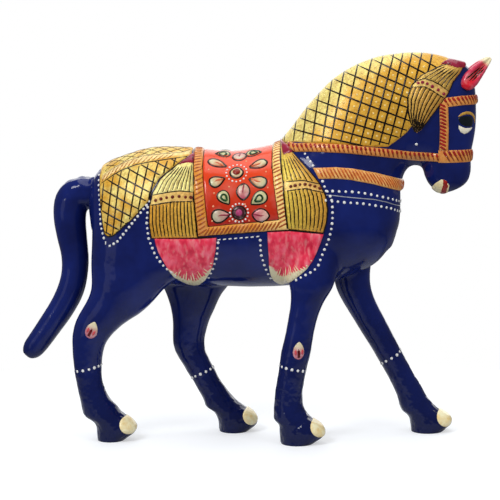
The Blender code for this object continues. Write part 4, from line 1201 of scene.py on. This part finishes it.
TIP_PALE, TIP_DEEP = (0.96, 0.15, 0.23), (0.66, 0.015, 0.055)
pink = painted("pink_brushed", streak=0.13, grain=(1, 1, 0.35), patch=850.0)
cream = glazed("cream_enamel", (0.92, 0.84, 0.54), (0.86, 0.70, 0.36), patch=300.0)


def edge_span(z, place):
    """How wide the cream rim of a tassel end is at a level."""
    return float(np.interp(z, RIM_LEVELS, TIP_RIMS[place]))


for place, tip in TIPS.items():
    def tip_colour(x, z):
        ragged = 0.8 * noise.noise(Vector((x, 0, z)) * 1.3)
        cloud = noise.noise(Vector((x, 7, z * 0.7)) * 0.45) + 0.6 * noise.noise(Vector((x, 3, z * 0.7)) * 1.1)
        rose = blend(blend(TIP_ROSE, TIP_PALE, cloud * 1.3), TIP_DEEP, -cloud * 1.3)
        return blend(TIP_CREAM, rose, (to_edge([tip], x, z) + ragged - edge_span(z, place)) / 0.6)

    middle_x, middle_z = TIP_HEARTS[place]
    for hand, side in HANDS:
        raised(f"{place}_tassel_end_{hand}", tip, 0.9, 3.0, pink, "pink_enamel", f"tassel_tip_{place}_{hand}",
               side=side, start=4.5, finer=1, colour=tip_colour)
        fringe = []
        for k, (x, z) in enumerate(along(tip[5:13], 1.15)):
            way = Vector((middle_x - x, middle_z - z)).normalized()
            uneven = (1.0 + 1.1 * math.sin(k * 2.1)) * float(np.interp(z, (51, 58), (1.3, 0.4)))
            long = uneven + max(0, edge_span(z, place))
            fringe.append([flank(x + way.x * (0.3 + long * t), z + way.y * (0.3 + long * t), side)
                           for t in (0, 0.33, 0.67, 1)])
        pen(f"{place}_tassel_fringe_{hand}", fringe, 0.50, cream, "cream_enamel", ends=(0.9, 0.9, 0.1))
        pen(f"{place}_tassel_hem_{hand}", [traced(TIP_HEMS[place], side, 0.7)], 1.0, ink, "pink_enamel",
            ends=(0.4, 1.0, 0.4))


# The bridle. Narrow raised bands of orange enamel, rounded like cord and hatched with dark red
# wedges: the reins along the neck, the noseband, the browband and the cheek straps.
REIN = (
    (10.6, 95.6), (13.6, 95.2), (17.0, 95.4), (21.6, 95.4), (29.2, 95.1), (39.3, 94.0), (49.4, 92.6),
    (59.2, 91.9),
)
NOSEBAND = ((58.8, 92.3), (64.0, 92.4), (74.0, 92.6))
BROWBAND = ((58.9, 109.3), (66.0, 110.2), (75.0, 110.6))
CHEEK = ((60.2, 109.0), (60.5, 101.0), (60.4, 94.3))
orange = glazed("orange_enamel", (0.80, 0.36, 0.09), (0.66, 0.22, 0.05), patch=500.0)
oxblood = glazed("oxblood_strokes", (0.42, 0.022, 0.014), (0.22, 0.010, 0.008), patch=600.0)


def swept(line, width):
    """The outline of a band of one width along a line."""
    points = [np.array(point, float) for point in line]
    ways = []
    for i in range(len(points)):
        run = points[min(i + 1, len(points) - 1)] - points[max(i - 1, 0)]
        ways.append(np.array((-run[1], run[0])) / np.hypot(*run) * width / 2)
    there = [point + way for point, way in zip(points, ways)]
    back = [point - way for point, way in zip(points, ways)][::-1]
    return tuple(map(tuple, there + back))


TOP, FOOT = (0.46, 0.3, 0.15, 0.0), (0.05, -0.1, -0.25, -0.4)  # a wedge's thick and thin part across a band
HEAD_AXIS = 62  # where the middle of the head stands, as x


def band_strokes(line, width, pitch, lean, side, part):
    """Part of the slanting strokes across a band on one side: lean is how far they run on along it."""
    places = list(along(line, pitch))
    for (ax, az), (bx, bz) in zip(places, places[1:]):
        run = np.array((bx - ax, bz - az)) / math.hypot(bx - ax, bz - az)
        up = np.array((-run[1], run[0]))
        if up[1] < 0 or (abs(up[1]) < 0.3 and up[0] > 0):
            up = -up
        middle = np.array((ax + bx, az + bz)) / 2
        yield [flank(*(middle + up * width * t + run * lean * t), side) for t in part]


def round_post(axis, line, turn, level, away=AWAY):
    """A place on a band round the head or chest, by the way round from the front and its level."""
    z = line[-1][1]
    for _ in range(3):
        way = Vector((math.cos(turn), math.sin(turn), 0)) * away * MM
        centre = at(axis, 0, z + level)
        spot = lie(centre + way, centre)
        if not spot:
            return None
        z = float(np.interp(side_view(spot[0])[0], *zip(*line)))
    return spot


def ring_of(axis, line, reach, away):
    """The turns of a line round the head or chest, and how far along it each lies, in mm."""
    turns = np.linspace(-reach, reach, 241)
    spots = [round_post(axis, line, turn, 0, away) for turn in turns]
    return turns, np.cumsum([0] + [(b[0] - a[0]).length / MM for a, b in zip(spots, spots[1:])])


def ring_strokes(axis, line, width, pitch, lean, reach, away=AWAY, part=(0.46, 0.23, 0, -0.2, -0.4)):
    """Slanting strokes across a band round the head or chest, from one side to the other."""
    turns, lengths = ring_of(axis, line, reach, away)
    for middle in np.arange(pitch / 2, lengths[-1], pitch):
        way = 1 if middle > lengths[-1] / 2 else -1
        yield [round_post(axis, line, float(np.interp(middle + way * lean * t, lengths, turns)), width * t,
                          away) for t in part]


for name, line, width, rim in (("noseband", NOSEBAND, 4.0, 1.6), ("browband", BROWBAND, 3.0, 1.4)):
    raised(name + "_cord", swept(line, width), 0.5, rim, orange, "orange_band", name)
tops, feet, blobs = [], [], []
for hand, side in HANDS:
    for name, line, width, stood_for in (("rein", REIN, 2.7, "rein"), ("cheek", CHEEK, 2.8, "cheek_strap")):
        raised(f"{name}_cord_{hand}", swept(line, width), 0.8, 1.3, orange, "orange_band",
               f"{stood_for}_{hand}", side=side)
    for strokes, part in ((tops, TOP), (feet, FOOT)):
        strokes += band_strokes(REIN, 2.7, 1.45, -1.1, side, part)
    blobs += band_strokes(CHEEK, 2.6, 1.12, -1.5, side, (0.48, 0.3, 0.1, -0.1, -0.28))
for strokes, part in ((tops, TOP), (feet, FOOT)):
    strokes += ring_strokes(HEAD_AXIS, NOSEBAND, 4.0, 1.5, 2.6, 1.75, part=part)
    strokes += ring_strokes(HEAD_AXIS, BROWBAND, 3.0, 1.4, 1.9, 1.75, part=part)
pen("bridle_strokes", tops, 0.96, oxblood, "orange_band", ends=(0.9, 1.0, 0.8))
pen("bridle_stroke_ends", feet, 0.76, rust, "orange_band", ends=(1.0, 0.8, 0.5))
pen("cheek_strokes", blobs, 0.86, oxblood, "orange_band", ends=(1.0, 1.0, 0.3))


# The breast collar. A band of cream and orange enamel round the chest, hatched with steep strokes.
COLLAR = ((20.8, 87.5), (26.0, 87.6), (31.0, 87.2), (38.5, 85.7), (43.0, 84.4), (50.0, 82.2))
collar_cream = glazed("collar_enamel", (0.86, 0.50, 0.16), (0.74, 0.27, 0.06), patch=420.0)
raised("collar_cord", ((18.9, 89.0), *swept(COLLAR, 3.6)[1:]), 0.65, 1.6, collar_cream, "orange_band",
       "breast_collar")
CHEST_AXIS, CHEST_AWAY = 24, 29  # where the middle of the chest stands, and how far off a brush starts there
strokes = list(ring_strokes(CHEST_AXIS, COLLAR, 3.6, 1.2, 2.0, 1.76, away=CHEST_AWAY))
pen("collar_strokes", strokes, 0.66, amber, "orange_band", ends=(0.6, 1.0, 0.6))


# The white drops. Rows of small drops of white enamel set round every part of the trappings, with a
# silver line between the two rows on the chest.
ROWS = (  # lines of drops, and how far apart the drops stand, in mm
    (((-50.4, 89.0), (-50.4, 86.5), (-50.0, 82.9), (-49.4, 78.5), (-48.9, 70.4), (-47.8, 66.4)), 1.55),
    (((-45.8, 64.0), (-43.4, 65.3), (-38.0, 71.9), (-33.9, 77.0), (-32.9, 78.4)), 1.55),
    (((-33.3, 76.5), (-33.7, 71.6), (-33.1, 66.2), (-31.0, 61.0), (-28.4, 57.5), (-25.0, 54.4)), 1.7),
    (((-11.0, 65.4), (-11.6, 60.6), (-13.0, 56.6), (-14.6, 53.3)), 1.7),
    (((2.4, 66.3), (2.5, 62.0), (3.4, 58.4), (4.4, 55.3), (5.4, 53.3)), 1.7),
    (((16.3, 93.4), (17.3, 92.0), (18.2, 90.8), (18.9, 89.8)), 1.55),
    (((22.0, 85.0), (22.8, 82.9), (24.3, 80.7), (25.0, 79.2), (25.2, 76.2), (25.2, 72.7), (24.7, 69.1),
      (23.8, 65.8), (22.3, 62.5), (20.8, 58.4), (19.3, 56.6), (16.2, 55.0), (13.7, 53.5)), 1.75),
    (((51.6, 96.3), (51.7, 96.3)), 1.0),
)
spots, dashes = [], []
for side in (-1, 1):
    spots += [flank(x, z, side) for row, pitch in ROWS for x, z in along(row, pitch)]
    dashes.append([flank(-47.2, 64.3 + 1.1 * t, side) for t in (0, 0.5, 1)])
    for x, z in along(((-10.7, 66.4), (1.6, 67.5)), 1.75):
        dashes.append([flank(x + t, z + 0.2 * t, side) for t in (-0.5, 0, 0.5)])
CHEST_ROWS = (
    ((24.5, 82.0), (27.7, 81.8), (31.8, 81.7), (35.3, 81.2), (38.9, 80.4), (41.8, 79.7), (44.4, 78.9),
     (48.0, 77.4)),
    ((25.3, 79.1), (27.5, 78.5), (30.7, 78.3), (34.6, 78.0), (38.1, 77.4), (41.2, 76.8), (43.9, 76.1),
     (47.0, 74.5)),
)
SILVER = ((24.2, 80.7), (31.3, 79.9), (38.4, 79.2), (42.4, 78.2), (46.4, 76.6), (48.0, 75.9))
for row in CHEST_ROWS:
    turns, lengths = ring_of(CHEST_AXIS, row, 1.62, CHEST_AWAY)
    for length in np.linspace(0, lengths[-1], round(lengths[-1] / 2.0)):
        spots.append(round_post(CHEST_AXIS, row, float(np.interp(length, lengths, turns)), 0, CHEST_AWAY))
drops("white_drops", spots, 0.9, white, "cream_enamel")
pen("white_dashes", dashes, 0.52, white, "cream_enamel", ends=(0.8, 1.0, 0.8))
silver = glazed("silver_line", (0.62, 0.64, 0.68), (0.48, 0.50, 0.55), patch=900.0, roughness=0.3, metal=0.6)
pen("silver_line", [[round_post(CHEST_AXIS, SILVER, turn, 0, CHEST_AWAY) for turn in turns[::2]]], 0.3,
    silver, "cream_enamel", ends=(0.8, 1.0, 0.8))


# The legs' ornament. A ring of white drops round each leg, and above it, on the leg's outer side, a
# pale petal of enamel that blushes beside a dark heart.
LEG_RINGS = {
    "hind_right": ((-57.1, 22.6), (-49.2, 24.5)), "hind_left": ((-22.8, 17.6), (-14.1, 21.3)),
    "fore_right": ((8.8, 25.2), (16.1, 23.8)), "fore_left": ((41.3, 23.0), (47.9, 26.7)),
}
RING_REACH = (9, 4.4)  # how far off a ring's drops are aimed from, and half the ring's width, in mm
spots = []
for limb, ((ax, az), (bx, bz)) in LEG_RINGS.items():
    y = LEGS[limb][0]
    cx, cz, slope = (ax + bx) / 2, (az + bz) / 2, (bz - az) / (bx - ax)
    for k in range(14):
        turn = 2 * math.pi * (k + 0.5) / 14
        x, z = cx + RING_REACH[0] * math.cos(turn), cz + RING_REACH[1] * math.cos(turn) * slope
        spots.append(lie(at(x, y + RING_REACH[0] * math.sin(turn), z), at(cx, y, z)))
drops("leg_ring_drops", spots, 1.0, white, "cream_enamel")
PETALS = (  # x, z, length, width, way that the point looks, way of the heart, side
    (-52.0, 36.6, 5.9, 4.1, 68, 62, -1), (14.6, 30.7, 5.8, 3.8, 86, 92, -1),
    (-22.2, 36.4, 5.9, 4.1, 86, 84, 1), (41.1, 30.5, 5.8, 3.8, 116, 118, 1),
)
PETAL_TIP, PETAL_BASE = (0.74, 0.66, 0.42), (0.58, 0.20, 0.25)
bm = bmesh.new()
bm.verts.layers.float_color.new("paint")
hearts, blushes = [], []
for x, z, length, width, way, lean, side in PETALS:
    spot, facing = flank(x, z, side)
    laid_stone(bm, spot, facing, "bud", length, width, way, PETAL_TIP, PETAL_BASE, 0.10, 2.6)
    hearts.append([nearby(spot, facing, t * 1.4 - 0.75, 0.05, lean) for t in (-1, -0.5, 0, 0.5, 1)])
    blushes += [[nearby(spot, facing, t * 1.0 - 0.5, off, lean) for t in (-1, -0.5, 0, 0.5, 1)]
                for off in (-1.05, 1.0)]
piece("leg_petals", kept("leg_petals", bm), stone_enamel, "cream_enamel")
heart_enamel = glazed("heart_enamel", (0.14, 0.004, 0.006), (0.07, 0.002, 0.003), patch=600.0)
blush = glazed("blush_enamel", (0.66, 0.09, 0.09), (0.56, 0.06, 0.10), patch=600.0)
for strokes in (hearts, blushes):
    strokes[:] = [[lie(spot + facing * 2 * MM, spot) or (spot, facing) for spot, facing in run]
                  for run in strokes]
pen("leg_petal_hearts", hearts, 1.15, heart_enamel, "pink_enamel", ends=(1.0, 0.9, 0.1))
pen("leg_petal_blushes", blushes, 0.85, blush, "pink_enamel", ends=(0.3, 1.0, 0.2))


# The hooves. Each toe is capped with a domed oval of cream enamel.
HOOF_CAPS = {  # x, z, length, width, and the slope of the length in degrees
    "fore_right": (21.0, 5.4, 6.4, 4.6, -56), "fore_left": (62.2, 4.9, 6.0, 4.6, -54),
    "hind_right": (-40.7, 5.3, 5.9, 4.7, -52), "hind_left": (-2.0, 5.2, 5.8, 4.2, -56),
}
hoof_cream = glazed("hoof_enamel", (0.95, 0.88, 0.58), (0.84, 0.62, 0.26), patch=380.0)
for limb, (cap_x, cap_z, length, width, slope) in HOOF_CAPS.items():
    across, along_toe = math.sin(math.radians(slope)), math.cos(math.radians(slope))
    oval = []
    for k in range(20):
        u, v = outline_of("round", length, width, math.pi * k / 10)
        oval.append((cap_x + u * along_toe - v * across, cap_z + u * across + v * along_toe))
    raised(f"toe_cap_{limb}", tuple(oval), 0.4, 1.2, hoof_cream, "cream_enamel", f"hoof_cap_{limb}",
           side=-1 if limb.endswith("right") else 1, finer=1)


# The face. A cream crescent with a black lid over it and a golden brow for each eye, and a cream and
# red patch for the mouth.
CRESCENT = (
    (65.0, 102.3), (66.0, 101.9), (67.2, 101.4), (68.7, 101.4), (69.5, 101.6), (69.0, 100.7), (68.0, 99.9),
    (66.8, 99.5), (65.7, 100.2), (65.1, 101.2),
)
LID = (
    (64.8, 104.6), (65.8, 105.1), (67.4, 105.3), (68.9, 105.1), (69.8, 104.0), (69.6, 102.8), (69.3, 101.9),
    (67.4, 101.9), (66.0, 102.5), (65.3, 103.3),
)
BROW = (
    (64.9, 105.0), (66.2, 105.9), (67.6, 106.3), (69.0, 106.1), (70.0, 105.2), (70.4, 103.9), (70.3, 102.9),
)
MOUTH = (
    (59.8, 85.0), (61.3, 84.6), (62.4, 83.0), (62.0, 80.6), (60.6, 79.0), (57.0, 79.6), (56.2, 81.3),
    (57.9, 83.6),
)
LIPS = (
    (60.4, 85.0), (61.6, 84.4), (62.1, 82.9), (61.6, 80.6), (60.4, 79.6), (59.0, 79.6), (59.8, 81.2),
    (60.2, 83.0),
)
eye_white = glazed("eye_enamel", (0.92, 0.88, 0.74), (0.86, 0.78, 0.58), patch=300.0)
black = glazed("black_enamel", (0.006, 0.010, 0.014), (0.003, 0.005, 0.008))
brow_gold = glazed("brow_enamel", (0.62, 0.36, 0.06), (0.50, 0.26, 0.04), patch=500.0)
for hand, side in HANDS:
    raised(f"eye_white_{hand}", CRESCENT, 0.35, 0.7, eye_white, "cream_enamel", f"eye_{hand}", side=side)
    raised(f"eye_lid_{hand}", LID, 0.3, 0.8, black, "cream_enamel", side=side)
    pen(f"brow_{hand}", [traced(BROW, side, 0.5)], 1.1, brow_gold, "cream_enamel")
raised("mouth_patch", MOUTH, 0.35, 0.8, cream, "cream_enamel", "mouth")
raised("lip_stripe", LIPS, 0.5, 0.6, oxblood, "cream_enamel")


# The stage. A plain white floor under soft studio light, with the camera where the photograph's was:
# a little in front of square and slightly above. A white card behind is seen only in the gloss.
SEEN_NEAR = 0.46  # how brightly the floor shows beside the horse, to pure white at its edge
GLOSS_NEAR = 0.12  # and how brightly in the gloss, to none at its edge
FLOOR_GREY, EDGE_GREY = (0.58, 0.61, 0.65), (0.05, 0.05, 0.05)


def paper_disc(name, radius, place):
    """A round sheet of paper, which isn't part of the horse."""
    bm = bmesh.new()
    bmesh.ops.create_circle(bm, cap_ends=True, segments=96, radius=radius, matrix=place)
    mesh = bpy.data.meshes.new(name)
    bm.to_mesh(mesh)
    bm.free()
    made = bpy.data.objects.new(name, mesh)
    bpy.context.scene.collection.objects.link(made)
    made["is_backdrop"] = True
    paper, tree, shader = bare(name + "_paper")
    mesh.materials.append(paper)
    return made, tree, shader


floor, tree, shader = paper_disc("floor", 0.16, Matrix.Identity(4))
rays = node(tree, "LightPath").outputs
place = node(tree, "TexCoord").outputs["Object"]
away = node(tree, "VectorMath", {0: place}, operation="LENGTH").outputs["Value"]
bright = ranged(tree, away, 0.05, 0.15, SEEN_NEAR, 1.0)
faded = ranged(tree, away, 0.05, 0.155, GLOSS_NEAR, 0.0)
edge = ranged(tree, away, 0.05, 0.155)
direct = node(tree, "Math", {0: rays["Is Camera Ray"], 1: bright}, operation="MULTIPLY")
seen = node(tree, "Math", {0: rays["Is Glossy Ray"], 1: faded, 2: direct.outputs[0]}, operation="MULTIPLY_ADD")
fill(shader, {"Roughness": 0.8, "Specular IOR Level": 0.1, "Emission Color": (1, 1, 1, 1)})
tree.links.new(mixed(tree, edge, (*FLOOR_GREY, 1), (*EDGE_GREY, 1)), shader.inputs["Base Color"])
tree.links.new(seen.outputs[0], shader.inputs["Emission Strength"])
standing = Matrix.Translation((0, 0.6, 0.45)) @ Matrix.Rotation(math.pi / 2, 4, "X")
card, tree, shader = paper_disc("white_card", 0.5, standing)
card.visible_camera = False
card.visible_diffuse = False
card.visible_shadow = False
fill(shader, {"Emission Color": (1, 1, 1, 1), "Emission Strength": 0.9})
SEEN_ROOM, GLOSS_ROOM, ROOM = 1.0, 0.15, 0.40  # how bright the room is to the eye, in the gloss, as a light
world = bpy.data.worlds.new("studio")
bpy.context.scene.world = world
world.use_nodes = True
tree = world.node_tree
room = tree.nodes["Background"]
fill(room, {"Color": (1, 1, 1, 1)})
rays = node(tree, "LightPath").outputs
glossy = node(tree, "Math", {0: rays["Is Glossy Ray"], 1: GLOSS_ROOM - ROOM, 2: ROOM},
              operation="MULTIPLY_ADD")
bright = node(tree, "Math", {0: rays["Is Camera Ray"], 1: SEEN_ROOM - ROOM, 2: glossy.outputs[0]},
              operation="MULTIPLY_ADD")
tree.links.new(bright.outputs[0], room.inputs["Strength"])
LAMPS = (  # name, place and size in metres, power in watts, and whether it shows in the gloss
    ("key", (-0.45, -0.65, 0.75), 0.35, 4.9, True), ("fill", (0.70, -0.60, 0.40), 0.5, 2.0, False),
    ("top", (0.0, 0.1, 0.9), 0.7, 3.2, True), ("rim", (-0.2, 0.9, 0.5), 0.7, 2.0, True),
    ("side", (-0.50, -0.42, 0.10), 0.26, 0.12, True), ("glint", (-0.44, -0.42, 0.17), 0.05, 0.07, True),
)
LIT = (0, 0, 0.06)  # where all of them point
for name, spot, size, power, gleam in LAMPS:
    lamp = bpy.data.lights.new(name, "AREA")
    lamp.size = size
    lamp.energy = power
    made = bpy.data.objects.new(name, lamp)
    made.location = spot
    made.rotation_euler = (Vector(LIT) - Vector(spot)).to_track_quat("-Z", "Y").to_euler()
    made.visible_glossy = gleam
    bpy.context.scene.collection.objects.link(made)
TARGET = Vector((-1.08, 0, 61.3)) * MM
YAW, LIFT, DISTANCE = math.radians(3), math.radians(6), 650 * MM
LENS = 143.7
back = Vector((math.sin(YAW) * math.cos(LIFT), -math.cos(YAW) * math.cos(LIFT), math.sin(LIFT)))
camera = bpy.data.objects.new("camera", bpy.data.cameras.new("camera"))
camera.data.lens = LENS
camera.data.sensor_width = 36.0
camera.location = TARGET + back * DISTANCE
camera.rotation_euler = (-back).to_track_quat("-Z", "Y").to_euler()
bpy.context.scene.collection.objects.link(camera)
bpy.context.scene.camera = camera
bpy.context.scene.view_settings.view_transform = "Standard"

boxes = {"cad": cad_box, "visual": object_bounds()}
{name: [[float(c) for c in corner] for corner in box] for name, box in boxes.items()}
